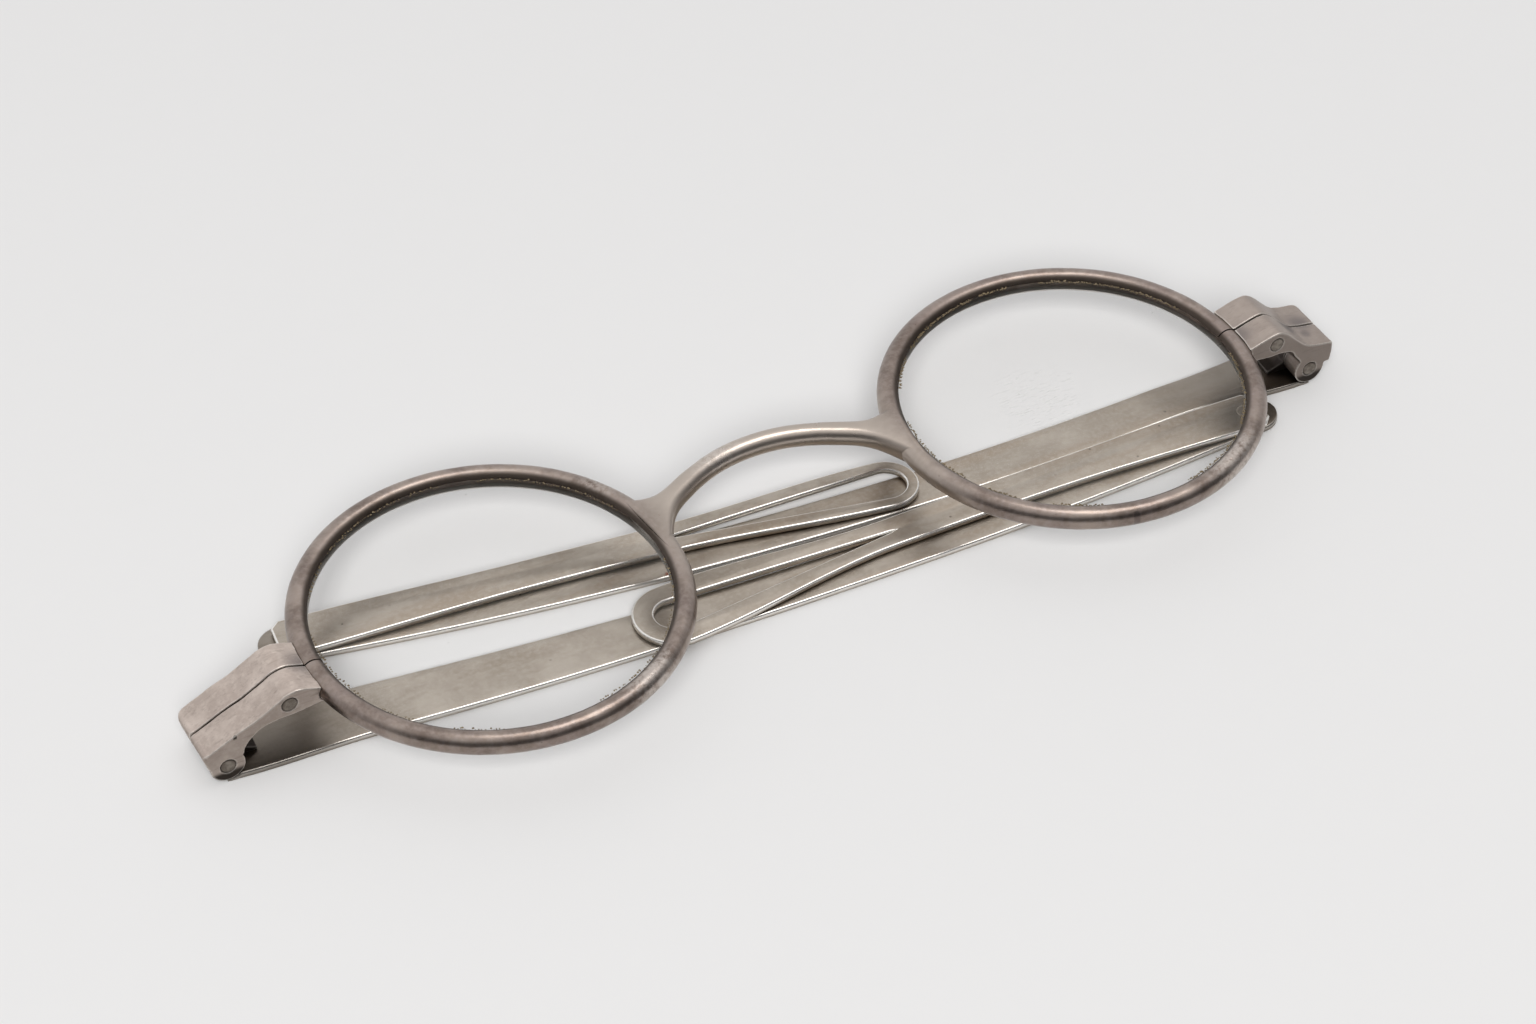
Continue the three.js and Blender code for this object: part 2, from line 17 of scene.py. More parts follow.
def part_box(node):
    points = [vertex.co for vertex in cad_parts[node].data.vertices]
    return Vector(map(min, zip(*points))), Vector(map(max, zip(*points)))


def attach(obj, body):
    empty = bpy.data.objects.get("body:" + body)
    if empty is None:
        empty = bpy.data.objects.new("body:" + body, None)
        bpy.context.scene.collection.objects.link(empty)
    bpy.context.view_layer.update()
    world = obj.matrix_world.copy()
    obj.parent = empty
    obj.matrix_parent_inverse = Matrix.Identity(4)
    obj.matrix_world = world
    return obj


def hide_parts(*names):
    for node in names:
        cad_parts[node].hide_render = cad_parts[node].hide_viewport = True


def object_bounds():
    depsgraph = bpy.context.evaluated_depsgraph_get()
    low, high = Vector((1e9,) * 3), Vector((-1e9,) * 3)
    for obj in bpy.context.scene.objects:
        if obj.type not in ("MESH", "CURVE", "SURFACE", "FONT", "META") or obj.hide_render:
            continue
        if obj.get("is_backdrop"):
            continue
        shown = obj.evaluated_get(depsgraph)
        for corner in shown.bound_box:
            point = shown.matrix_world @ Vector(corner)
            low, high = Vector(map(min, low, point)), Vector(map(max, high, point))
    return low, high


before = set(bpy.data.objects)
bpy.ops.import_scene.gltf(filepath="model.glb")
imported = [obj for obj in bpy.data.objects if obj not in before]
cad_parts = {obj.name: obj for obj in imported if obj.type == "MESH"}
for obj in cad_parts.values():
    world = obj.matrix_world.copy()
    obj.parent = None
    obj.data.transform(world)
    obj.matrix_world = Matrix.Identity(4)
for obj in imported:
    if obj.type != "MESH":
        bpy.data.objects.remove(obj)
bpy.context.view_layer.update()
scene = bpy.context.scene
MM = 0.001

# %% [markdown]
# ## Sizes
# A few sizes of the real thing are needed again here. Those that a node's box gives are read from it, so
# they can't drift apart: the rims' centres, the wire's thickness and the lens plane. The temples' bends
# are the maker's own numbers, in millimetres, the same as in the solid model.

# %% Sizes that the pieces share
rim_low, rim_high = (Vector(corner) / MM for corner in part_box("left_rim"))
right_low, right_high = (Vector(corner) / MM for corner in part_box("right_rim"))
RIM_HEIGHT = (rim_low.z + rim_high.z) / 2
WIRE_RADIUS = (rim_high.z - rim_low.z) / 2
RIM_OUTER = (rim_high.x - rim_low.x) / 2
RIM_RADIUS = RIM_OUTER - WIRE_RADIUS
EYE = {"left": (rim_low.x + rim_high.x) / 2, "right": (right_low.x + right_high.x) / 2}
HAND = {"left": -1, "right": 1}
MIDDLE_X = (EYE["left"] + EYE["right"]) / 2
EYE_HALF = (EYE["right"] - EYE["left"]) / 2
print("rims of %.2f mm at x %.2f and %.2f" % (2 * RIM_OUTER, EYE["left"], EYE["right"]))

# %% [markdown]
# ## Making a mesh
# Most pieces are made from rows of points. A helper joins the rows into a closed skin, turns its faces
# outwards and shades it smooth, but keeps the sharp corners. A piece's object stays at the origin and its
# place is in its points. It also keeps a number on each point that says how worn the metal is there, which
# the finishes read later; on the strips' edges this number also carries a painted highlight.

# %% Helpers that turn points into pieces
def new_piece(name, mesh):
    """Puts a mesh into the scene under its piece's name."""
    made = bpy.data.objects.new(name, mesh)
    scene.collection.objects.link(made)
    return made


def plain_mesh(carrier):
    """The mesh that an object's modifiers give. The object itself is removed."""
    evaluated = carrier.evaluated_get(bpy.context.evaluated_depsgraph_get())
    mesh = bpy.data.meshes.new_from_object(evaluated)
    bpy.data.objects.remove(carrier)
    return mesh


def reshape(mesh, change):
    """Changes a mesh in place with a function that works on its faces and edges."""
    shaped = bmesh.new()
    shaped.from_mesh(mesh)
    change(shaped)
    shaped.to_mesh(mesh)
    shaped.free()


def mesh_from(name, points, faces, wear=None, sharp=40):
    """Closed mesh in metres from points in millimetres, with its wear kept on the points; on strip edges this
    also carries a painted highlight.
    """
    mesh = bpy.data.meshes.new(name)
    mesh.from_pydata([Vector(point) * MM for point in points], [], faces)
    reshape(mesh, lambda shaped: bmesh.ops.recalc_face_normals(shaped, faces=shaped.faces))
    if wear is not None:
        keep_number(mesh, "wear", wear)
    smooth(mesh, sharp)
    return mesh


def keep_number(mesh, name, values):
    """Stores one number for each point of a mesh."""
    kept = mesh.attributes.new(name, "FLOAT", "POINT")
    kept.data.foreach_set("value", np.asarray(values, dtype=np.float32))


def smooth(mesh, sharp):
    """Shades a mesh smooth apart from its corners sharper than the given angle."""
    mesh.shade_smooth()
    mesh.set_sharp_from_angle(angle=radians(sharp))


# %% Helpers that join rows of points
def band(near, far, count):
    """Faces between two rows that go once round a piece; each row is given by its first point's index."""
    return [(near + k, near + (k + 1) % count, far + (k + 1) % count, far + k) for k in range(count)]


def skin(rows):
    """Faces between rows of points that each go once round a piece, with both ends closed."""
    count = len(rows[0])
    points = [point for row in rows for point in row]
    faces = [tuple(range(count)), tuple(range(len(points) - count, len(points)))]
    for i in range(len(rows) - 1):
        faces += band(i * count, (i + 1) * count, count)
    return points, faces


def turned(profile, segments, place):
    """Points and faces of a profile of (radius, height) turned about an axis; both ends lie on the axis."""
    turns = [2 * pi * k / segments for k in range(segments)]
    points = [place(0, 0, profile[0][1])]
    for radius, height in profile[1:-1]:
        points += [place(radius * cos(turn), radius * sin(turn), height) for turn in turns]
    points.append(place(0, 0, profile[-1][1]))
    last = len(points) - 1
    faces = []
    for k in range(segments):
        after = (k + 1) % segments
        faces += [(0, 1 + after, 1 + k), (last, last - segments + k, last - segments + after)]
    for near in range(1, last - segments, segments):
        faces += band(near, near + segments, segments)
    return points, faces


# %% [markdown]
# ## Node trees
# Some pieces and all finishes are made of nodes. One small class adds a node to a tree, with its settings
# and links, and another wraps a number that a node gives out, so that sums are written as plain expressions
# and each operator adds the node it needs.

# %% A number from a node, for sums
class Value:
    """A number from a node, ready for sums with other values, sockets or plain numbers."""

    def __init__(self, nodes, socket):
        self.nodes = nodes
        self.socket = socket

    def math(self, operation, first, second):
        made = self.nodes.add("ShaderNodeMath", {"operation": operation}, first, second)
        return Value(self.nodes, made.outputs[0])

    def __add__(self, other):
        return self.math("ADD", self, other)

    __radd__ = __add__

    def __sub__(self, other):
        return self.math("SUBTRACT", self, other)

    def __rsub__(self, other):
        return self.math("SUBTRACT", other, self)

    def __mul__(self, other):
        return self.math("MULTIPLY", self, other)

    __rmul__ = __mul__

    def __truediv__(self, other):
        return self.math("DIVIDE", self, other)

    def __rtruediv__(self, other):
        return self.math("DIVIDE", other, self)

    def __abs__(self):
        return self.math("ABSOLUTE", self, 0)

    def __pow__(self, other):
        return self.math("POWER", self, other)

    def __rpow__(self, other):
        return self.math("POWER", other, self)

    def ramp(self, start, stop):
        """0 below start and 1 above stop, or the other way round, with a soft step between."""
        soft = {"interpolation_type": "SMOOTHSTEP"}
        made = self.nodes.add("ShaderNodeMapRange", soft, self, start, stop, 0.0, 1.0)
        return Value(self.nodes, made.outputs[0])


# %% A node tree that nodes are added to
class Nodes:
    """A node tree with one method that adds a node."""

    def __init__(self, tree):
        self.tree = tree

    def add(self, kind, settings=None, *values, **named):
        """Adds a node: its settings first, then the values or links of its sockets, in order or by name.

        Names are written with underscores for their spaces.
        """
        made = self.tree.nodes.new(kind)
        for key, value in (settings or {}).items():
            setattr(made, key, value)
        for socket, value in zip(made.inputs, values):
            self.feed(socket, value)
        for key, value in named.items():
            self.feed(made.inputs[key.replace("_", " ")], value)
        return made

    def feed(self, socket, value):
        """Links a socket to a node's output, or gives it a plain value."""
        if isinstance(value, Value):
            value = value.socket
        if isinstance(value, bpy.types.NodeSocket):
            self.tree.links.new(value, socket)
        else:
            socket.default_value = value


# %% [markdown]
# ## The rims
# Each rim is a ring of round wire, bent round the lens and sawn through at the outer side so that it can
# be opened. A groove inside holds the glass. A torus would have no groove and no cut, so a node tree draws
# the wire's section along an arc: the arc stops short by the width of the saw cut, and a little noise moves
# the surface so that the wire looks drawn by hand.

# %% A geometry node tree with named inputs
class Tree(Nodes):
    """A geometry node tree with named inputs."""

    def __init__(self, name, inputs):
        super().__init__(bpy.data.node_groups.new(name, "GeometryNodeTree"))
        self.tree.interface.new_socket("Geometry", in_out="OUTPUT", socket_type="NodeSocketGeometry")
        self.identifiers = {}
        for label, kind in inputs.items():
            made = self.tree.interface.new_socket(label, in_out="INPUT", socket_type="NodeSocket" + kind)
            self.identifiers[label] = made.identifier
        self.inputs = self.tree.nodes.new("NodeGroupInput").outputs
        self.end = self.tree.nodes.new("NodeGroupOutput")

    def finish(self, geometry, material):
        """Ends the tree with plain geometry in one material."""
        plain = self.add("GeometryNodeRealizeInstances", Geometry=geometry)
        painted = self.add("GeometryNodeSetMaterial", Geometry=plain.outputs[0], Material=material)
        self.feed(self.end.inputs[0], painted.outputs[0])

    def run(self, name, values):
        """Runs the tree once on an empty mesh and returns the result as a plain mesh."""
        carrier = new_piece(name, bpy.data.meshes.new(name))
        modifier = carrier.modifiers.new("shape", "NODES")
        modifier.node_group = self.tree
        for label, value in values.items():
            modifier[self.identifiers[label]] = value
        return plain_mesh(carrier)


# %% A node tree that draws a grooved wire round an eye
SAW_CUT = 0.16
GROOVE_DEPTH = 0.75
GROOVE_HALF = 0.46
ARC_STEPS = 320
SECTION_STEPS = 40


def wire_section():
    """Section of the grooved wire as a closed curve: x points away from the lens."""
    mouth = asin(GROOVE_HALF / WIRE_RADIUS)
    floor = GROOVE_DEPTH - WIRE_RADIUS
    points = [(floor, GROOVE_HALF), (floor, -GROOVE_HALF)]
    for i in range(SECTION_STEPS + 1):
        angle = -pi + mouth + i * 2 * (pi - mouth) / SECTION_STEPS
        points.append((WIRE_RADIUS * cos(angle), WIRE_RADIUS * sin(angle)))
    curve = bpy.data.curves.new("wire_section", "CURVE")
    curve.dimensions = "3D"
    spline = curve.splines.new("POLY")
    spline.points.add(len(points) - 1)
    for point, (x, y) in zip(spline.points, points):
        point.co = (x * MM, y * MM, 0, 1)
    spline.use_cyclic_u = True
    return new_piece("wire_section", curve)


def rim_tree(material):
    """Draws a section along an arc that stops short by the saw cut."""
    rim = Tree("rim wire", {"Section": "Object", "Radius": "Float", "Cut": "Float", "Start": "Float",
                            "Centre": "Vector", "Waviness": "Float"})
    of = rim.inputs
    gap = Value(rim, of["Cut"]) / of["Radius"]
    arc = rim.add("GeometryNodeCurveArc", Resolution=ARC_STEPS, Radius=of["Radius"],
                  Start_Angle=gap * 0.5 + of["Start"], Sweep_Angle=2 * pi - gap)
    level = rim.add("GeometryNodeSetCurveNormal", {"mode": "Z_UP"}, Curve=arc.outputs["Curve"])
    section = rim.add("GeometryNodeObjectInfo", Object=of["Section"])
    wire = rim.add("GeometryNodeCurveToMesh", Curve=level.outputs[0],
                   Profile_Curve=section.outputs["Geometry"], Fill_Caps=True)
    wave = rim.add("ShaderNodeTexNoise", {"noise_dimensions": "3D"}, Scale=420.0, Detail=2.0)
    height = (Value(rim, wave.outputs[0]) - 0.5) * of["Waviness"]
    normal = rim.add("GeometryNodeInputNormal")
    push = rim.add("ShaderNodeVectorMath", {"operation": "SCALE"}, normal.outputs[0], Scale=height)
    drawn = rim.add("GeometryNodeSetPosition", Geometry=wire.outputs[0], Offset=push.outputs[0])
    placed = rim.add("GeometryNodeTransform", Geometry=drawn.outputs[0], Translation=of["Centre"])
    rim.finish(placed.outputs[0], material)
    return rim


# %% [markdown]
# ## Finishes
# Everything but the glass is old silver, but each kind of piece has aged in its own way, so each gets its
# own finish: brown tarnish on the wire, cooler mottled strips with worn edges that are also painted bright as
# a highlight, scratched end pieces with painted shade on their undersides and sides, and dark pins. The
# patterns read the place of a point in the frame, so they stay with the metal.

# %% Patterns that the finishes are mixed from
class Shader(Nodes):
    """A shader's node tree. Its patterns read a place, in metres, or a number that is kept on the mesh."""

    def __init__(self, tree, coordinates):
        super().__init__(tree)
        self.place = self.add("ShaderNodeTexCoord").outputs[coordinates]

    def number(self, name):
        made = self.add("ShaderNodeAttribute", {"attribute_name": name})
        return Value(self, made.outputs["Fac"])

    def axes(self):
        """The place's x, y and z."""
        made = self.add("ShaderNodeSeparateXYZ", None, self.place)
        return [Value(self, made.outputs[i]) for i in range(3)]

    def stretched(self, scale, turn=0.0):
        """The place, turned about z and stretched for a pattern that runs one way."""
        return self.add("ShaderNodeMapping", Vector=self.place, Rotation=(0, 0, turn), Scale=scale).outputs[0]

    def noise(self, scale, detail=3.0, rough=0.55, place=None):
        made = self.add("ShaderNodeTexNoise", Vector=place or self.place, Scale=scale, Detail=detail,
                        Roughness=rough)
        return Value(self, made.outputs["Fac"])

    def specks(self, scale, size):
        """1 in small round specks, one in each cell of a scattered grid."""
        made = self.add("ShaderNodeTexVoronoi", Vector=self.place, Scale=scale, Randomness=1.0)
        return Value(self, made.outputs["Distance"]).ramp(size, size * 0.4)

    def spot(self, x, y, radius, soft=0.5):
        """1 at a place seen from above, in millimetres, falling to 0 at the radius."""
        across, along, _ = self.axes()
        far = ((across - x * MM) ** 2 + (along - y * MM) ** 2) ** 0.5
        return far.ramp(radius * MM, radius * MM * (1 - soft))

    def spots(self, places, soft=0.5):
        """The sum of several spots, each given as x, y and radius."""
        return sum(self.spot(*place, soft) for place in places)

    def mix(self, share, first, second):
        """A colour between two colours."""
        made = self.add("ShaderNodeMix", {"data_type": "RGBA"}, share)
        self.feed(made.inputs[6], first)
        self.feed(made.inputs[7], second)
        return made.outputs[2]

    def bump(self, height, strength, distance):
        made = self.add("ShaderNodeBump", Height=height, Strength=strength, Distance=distance * MM)
        return made.outputs["Normal"]


# %% A material and its scratches
class Finish(Shader):
    """A procedural material."""

    def __init__(self, name):
        self.material = bpy.data.materials.new(name)
        self.material.use_nodes = True
        super().__init__(self.material.node_tree, "Object")
        self.shader = self.tree.nodes["Principled BSDF"]

    def shade(self, **sockets):
        """Sets the shader's sockets, whose names are written with underscores for their spaces."""
        for key, value in sockets.items():
            self.feed(self.shader.inputs[key.replace("_", " ")], value)
        print("finish:", self.material.name, "of", len(self.tree.nodes), "nodes")


def scratches(finish, scale, turns):
    """Fine lines that run a few ways, as cloth and handling leave them."""
    places = [finish.stretched((1.0, 14.0, 14.0), radians(turn)) for turn in turns]
    return sum(finish.noise(scale, 2.0, 0.6, place).ramp(0.60, 0.70) for place in places)


# %% [markdown]
# ### Tarnished wire
# The rims and the bridge have gone a warm grey-brown with a purple cast. The wall next to the glass is
# darkest, with grime where no cloth reaches and with painted shade. That wall is found by its distance from
# the centre of the eye, so one finish serves both rims, and below the middle of the glass it is paler.
# The bridge is lighter, and a few spots are painted as highlights, where the metal is also a little smoother.

# %% Finish of the rims and the bridge
def wire_finish():
    made = Finish("tarnished_wire")
    x, y, z = made.axes()
    from_eye = ((abs(x - MIDDLE_X * MM) - EYE_HALF * MM) ** 2 + y ** 2) ** 0.5
    inner = from_eye.ramp((RIM_RADIUS - 0.30) * MM, (RIM_RADIUS - 0.75) * MM)
    broad = made.noise(260, 4.0, 0.6)
    fine = made.noise(1900, 4.0, 0.65)
    tarnish = made.mix(broad.ramp(0.38, 0.66), (0.200, 0.156, 0.132, 1), (0.355, 0.292, 0.252, 1))
    cast = made.mix(made.noise(140, 2.0).ramp(0.45, 0.70) * 0.55, tarnish, (0.285, 0.226, 0.206, 1))
    mottled = made.mix(fine.ramp(0.35, 0.75) * 0.30, cast, (0.45, 0.395, 0.37, 1))
    pits = made.specks(700, 0.11) * broad.ramp(0.50, 0.60)
    pits = pits + made.spots(((23.6, -17.4, 0.55), (26.4, -17.4, 0.40), (22.4, -17.0, 0.35)))
    pitted = made.mix(pits.ramp(0, 1) * 0.45, mottled, (0.07, 0.055, 0.055, 1))
    between = abs(x - MIDDLE_X * MM).ramp(15 * MM, 10 * MM)
    lighter = made.mix(between * 0.85, pitted, (0.510, 0.446, 0.388, 1))
    # Painted highlights on a few spots of the rims and the bridge, where the metal is also a little smoother.
    highlight_spots = made.spots(((-3.0, 8.0, 5.5), (-20.8, -14.9, 5.0), (38.0, -15.0, 6.0)), soft=1.0)
    highlight_spots = (highlight_spots + made.spot(-13.5, 9.0, 4.0, soft=1.0) * 0.6) * fine.ramp(0.25, 0.60)
    highlit = made.mix(highlight_spots.ramp(0, 1) * 0.6, lighter, (0.66, 0.60, 0.55, 1))
    # The wall next to the glass is darkened: grime, and painted shade.
    grimy_and_shaded = made.mix(inner * 0.88, highlit, (0.060, 0.046, 0.036, 1))
    under_glass = inner * z.ramp((RIM_HEIGHT + 0.12) * MM, (RIM_HEIGHT - 0.30) * MM)
    paled = made.mix(under_glass * 0.85, grimy_and_shaded, (0.68, 0.66, 0.62, 1))
    lines = scratches(made, 240, (10, 64, 128))
    dull = broad * 0.14 + fine * 0.10 + inner * 0.24 + 0.19
    made.shade(Base_Color=paled, Metallic=1.0, Roughness=dull - highlight_spots * 0.05,
               Normal=made.bump(fine * 0.5 + lines * 0.12 - pits * 0.6, 0.35, 0.05))
    return made.material


wire_silver = wire_finish()

# %% [markdown]
# ### Strips of the temples
# The temples were rolled thin and stay cooler and lighter. Handling has mottled their flats and polished
# their edges, which are also painted nearly white as a highlight, so the finish reads the wear and highlight
# that is kept on the points of each strip. Near the hinges they are darker, with dirt and with painted shade.

# %% Finish of the temples and extensions
def strip_finish():
    made = Finish("mottled_strip")
    wear = made.number("wear")
    broad = made.noise(190, 4.0, 0.6)
    cloud = made.noise(620, 5.0, 0.7, made.stretched((0.25, 1.0, 1.0)))
    fine = made.noise(2600, 3.0, 0.6)
    flat = made.mix(broad.ramp(0.36, 0.66), (0.375, 0.326, 0.272, 1), (0.468, 0.416, 0.357, 1))
    clouded = made.mix(cloud.ramp(0.45, 0.70) * 0.45, flat, (0.280, 0.232, 0.180, 1))
    streak = made.noise(420, 2.0, 0.5, made.stretched((0.06, 1.0, 1.0))).ramp(0.52, 0.68)
    streaked = made.mix(streak * 0.5, clouded, (0.360, 0.285, 0.215, 1))
    grained = made.mix(fine.ramp(0.40, 0.72) * 0.35, streaked, (0.52, 0.468, 0.412, 1))
    specks = made.specks(520, 0.085) * made.noise(90, 1.0).ramp(0.48, 0.60)
    specked = made.mix(specks * 0.65, grained, (0.09, 0.075, 0.06, 1))
    rust = made.spot(-10.75, 1.59, 0.42, 0.8)
    rusted = made.mix(rust * 0.85, specked, (0.26, 0.075, 0.035, 1))
    x, _, z = made.axes()
    # Near the hinges the temples are darkened, with dirt and with painted shade from the pieces over them.
    hinge_shade_and_dirt = abs(x).ramp(37 * MM, 50 * MM) * z.ramp(0.9 * MM, 0.7 * MM)
    shaded_and_dirty = made.mix(hinge_shade_and_dirt * 0.65, rusted, (0.10, 0.085, 0.07, 1))
    # The worn edges are painted near-white: wear, and a painted highlight.
    sheen_and_polish = wear * (1 - hinge_shade_and_dirt * 0.8)
    highlit_and_worn = made.mix(sheen_and_polish * 0.85, shaded_and_dirty, (0.96, 0.94, 0.90, 1))
    lines = scratches(made, 170, (-4, 3, 40, 100))
    made.shade(Base_Color=highlit_and_worn, Metallic=1.0, Roughness=cloud * 0.16 + broad * 0.10 + 0.26 - wear * 0.12,
               Normal=made.bump(fine * 0.4 + lines * 0.15 + cloud * 0.3, 0.30, 0.05))
    return made.material


strip_silver = strip_finish()

# %% [markdown]
# ### End pieces and pins
# The end pieces are beige-grey and finely scratched, with dark dirt in their corners, painted shade on
# their undersides and side walls, and ridges that are worn and also painted brighter as a highlight; the
# right pair is duller and stained. The pins were filed flush and have gone darkest of all.

# %% Finish of the end pieces and of the pins
def end_finish():
    made = Finish("scratched_end_piece")
    wear = made.number("wear")
    hollow = made.number("hollow")
    broad = made.noise(240, 4.0, 0.6)
    fine = made.noise(1700, 5.0, 0.65)
    base = made.mix(broad.ramp(0.38, 0.66), (0.480, 0.402, 0.354, 1), (0.650, 0.560, 0.498, 1))
    grained = made.mix(fine.ramp(0.40, 0.75) * 0.40, base, (0.76, 0.67, 0.60, 1))
    stain = made.spot(53.4, -0.6, 1.5, 0.9) + made.spot(55.2, -1.4, 0.9, 0.8) * 0.6
    stain = stain + made.spots(((55.7, 0.4, 2.2), (-46.4, 0.3, 2.6), (47.6, -0.9, 2.4)), soft=1.0) * 0.85
    lines = scratches(made, 210, (20, 75, 120, 165))
    scored = made.mix(lines.ramp(0, 1.5) * 0.30, grained, (0.24, 0.195, 0.165, 1))
    x, _, z = made.axes()
    duller = made.mix(x.ramp(40 * MM, 48 * MM) * 0.65, scored, (0.26, 0.22, 0.195, 1))
    stained = made.mix(stain.ramp(0, 1) * 0.60, duller, (0.10, 0.09, 0.098, 1))
    chips = made.spots(((-55.1, -3.2, 0.30), (-54.3, -3.2, 0.22))) * z.ramp(4.6 * MM, 5.0 * MM)
    # Dirt in the hollows and chips, painted shade on undersides, side walls and knuckles, and darker towards
    # the bottom.
    shade_and_dirt = hollow * 0.85 + z.ramp(1.7 * MM, 1.0 * MM) * 0.7 + chips * 0.8
    shaded_and_dirty = made.mix(shade_and_dirt.ramp(0, 1), stained, (0.045, 0.036, 0.030, 1))
    # Ridges are painted brighter: wear, and a painted highlight.
    highlit_and_worn = made.mix(wear * 0.65, shaded_and_dirty, (0.80, 0.75, 0.69, 1))
    made.shade(Base_Color=highlit_and_worn, Metallic=1.0, Roughness=broad * 0.16 + fine * 0.14 + hollow * 0.3 + 0.30,
               Normal=made.bump(fine * 0.5 + lines * 0.25, 0.35, 0.05))
    return made.material


def pin_finish():
    made = Finish("dark_pin")
    wear = made.number("wear")
    fine = made.noise(2100, 5.0, 0.65)
    base = made.mix(fine.ramp(0.35, 0.70), (0.140, 0.118, 0.098, 1), (0.270, 0.238, 0.205, 1))
    ringed = made.mix(wear * 0.7, base, (0.05, 0.042, 0.036, 1))
    made.shade(Base_Color=ringed, Metallic=1.0, Roughness=fine * 0.25 + 0.28,
               Normal=made.bump(fine, 0.4, 0.05))
    return made.material


end_silver = end_finish()
pin_silver = pin_finish()

# %% [markdown]
# ### Glass and grime
# The lenses are so clear that they are seen mainly by faint marks and by the grime in their grooves. Real
# glass would also bend the view of the strips behind it, but by how much can't be measured, so a thin
# see-through skin with a little haze, dust and a rubbed patch stands for it.

# %% Finish of the lenses and of the grime
def lens_finish():
    made = Finish("clear_lens")
    dust = made.specks(420, 0.06) * made.noise(70, 1.0).ramp(0.50, 0.62)
    rub = made.noise(900, 2.0, 0.6, made.stretched((1.0, 7.0, 1.0), radians(62))).ramp(0.58, 0.68)
    rub = rub * made.spot(27.0, 0.7, 6.0, 1.0)
    haze = made.noise(60, 3.0).ramp(0.40, 0.75)
    made.shade(Base_Color=(0.60, 0.585, 0.54, 1), Metallic=0.0, Roughness=0.08, IOR=1.5,
               Alpha=haze * 0.012 + dust * 0.20 + rub * 0.22 + 0.018)
    return made.material


def grime_finish():
    made = Finish("groove_grime")
    lump = made.noise(2400, 3.0)
    made.shade(Base_Color=made.mix(lump, (0.085, 0.064, 0.036, 1), (0.30, 0.235, 0.145, 1)), Roughness=0.85,
               Metallic=0.0, Normal=made.bump(lump, 0.6, 0.05))
    return made.material


lens_glass = lens_finish()
groove_grime = grime_finish()

# %% [markdown]
# ## Dressing the frame
# Each finished mesh is given its material and name, and is put under the body that it moves with, and the
# solid that it stands for is hidden. One helper does this for every piece, so none is left behind when a
# joint turns.
# The rims come first, since they carry the rest of the front.

# %% Make, name and attach a finished piece
def finish_piece(name, mesh, material, body, node):
    """Gives a finished mesh its material, puts it under the body that it moves with, and hides the solid that
    it stands for.
    """
    mesh.materials.clear()
    mesh.materials.append(material)
    made = new_piece(name, mesh)
    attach(made, body)
    if node:
        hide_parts(node)
    print(name, "on", body, "with", len(mesh.polygons), "faces")


# %% Rims
WAVINESS = 0.05
section = wire_section()
rim_wire = rim_tree(wire_silver)
for side, hand in HAND.items():
    mesh = rim_wire.run(f"{side}_rim_wire", {
        "Section": section, "Radius": RIM_RADIUS * MM, "Cut": SAW_CUT * MM, "Start": pi if hand < 0 else 0.0,
        "Centre": (EYE[side] * MM, 0.0, RIM_HEIGHT * MM), "Waviness": WAVINESS * MM})
    smooth(mesh, 50)
    finish_piece(f"{side}_rim_wire", mesh, wire_silver, "front", f"{side}_rim")
bpy.data.objects.remove(section)

# %% [markdown]
# ## The lenses
# A lens is a disc that is a little thicker in the middle. It could be cut from two spheres, but a row of
# points turned about the eye's axis gives the same bulge with an even mesh and a rounded edge in the groove.

# %% Lenses turned about the eye's axis
LENS_EDGE = 0.8
LENS_CENTRE = 1.8
LENS_CLEARANCE = 0.06
LENS_ROUNDING = 0.12
LENS_LAND_HALF = 0.28
LENS_STEPS = 14
LENS_SEGMENTS = 128
LENS_RADIUS = RIM_RADIUS - WIRE_RADIUS + GROOVE_DEPTH - LENS_CLEARANCE


def lens_profile():
    """A bulging upper and lower face, with a narrow land between them at the edge."""
    bulge = [(LENS_RADIUS - LENS_ROUNDING) * i / LENS_STEPS for i in range(LENS_STEPS + 1)]
    upper = [(r, LENS_CENTRE / 2 - (LENS_CENTRE - LENS_EDGE) / 2 * (r / LENS_RADIUS) ** 2) for r in bulge]
    land = [(LENS_RADIUS, -LENS_LAND_HALF), (LENS_RADIUS, LENS_LAND_HALF)]
    return [(r, -h) for r, h in upper] + land + upper[::-1]


for side in HAND:
    points, faces = turned(lens_profile(), LENS_SEGMENTS, lambda x, y, z: (EYE[side] + x, y, RIM_HEIGHT + z))
    mesh = mesh_from(f"{side}_lens_glass", points, faces, sharp=60)
    finish_piece(f"{side}_lens_glass", mesh, lens_glass, "front", f"{side}_lens")

# %% [markdown]
# ## The bridge
# The bridge is one bar, bent to an arch and beaten out at each end into a fork that was soldered to the
# wire. Its two edges are drawn as smooth curves, and the bar is the skin between them: round in the arch,
# broad at the forks, and thickening where the solder fills the corner with the rim.

# %% Edges of the bridge
BRIDGE_WIRE = 2.06
BRIDGE_THICKNESS = 2.0
BRIDGE_RISE = 7.68
ARCH_RADIUS = 15.0
ARCH_HALF = 7.0
FLARE_HOLLOW = 1.5
FLARE_SINK = 1.1
UPPER_FORK = {"end": 21, "hollow": 16.3}
LOWER_FORK = {"end": -9, "hollow": 7}
SOLDER_THICKNESS = 2.08
SOLDER_REACH = 1.3
SOLDER_FULL = -0.4


def on_rim(angle, sink):
    """Point on the left rim's outer edge, sunk towards the wire's middle."""
    radius = RIM_OUTER - sink
    return (-EYE_HALF + radius * cos(radians(angle)), radius * sin(radians(angle)))


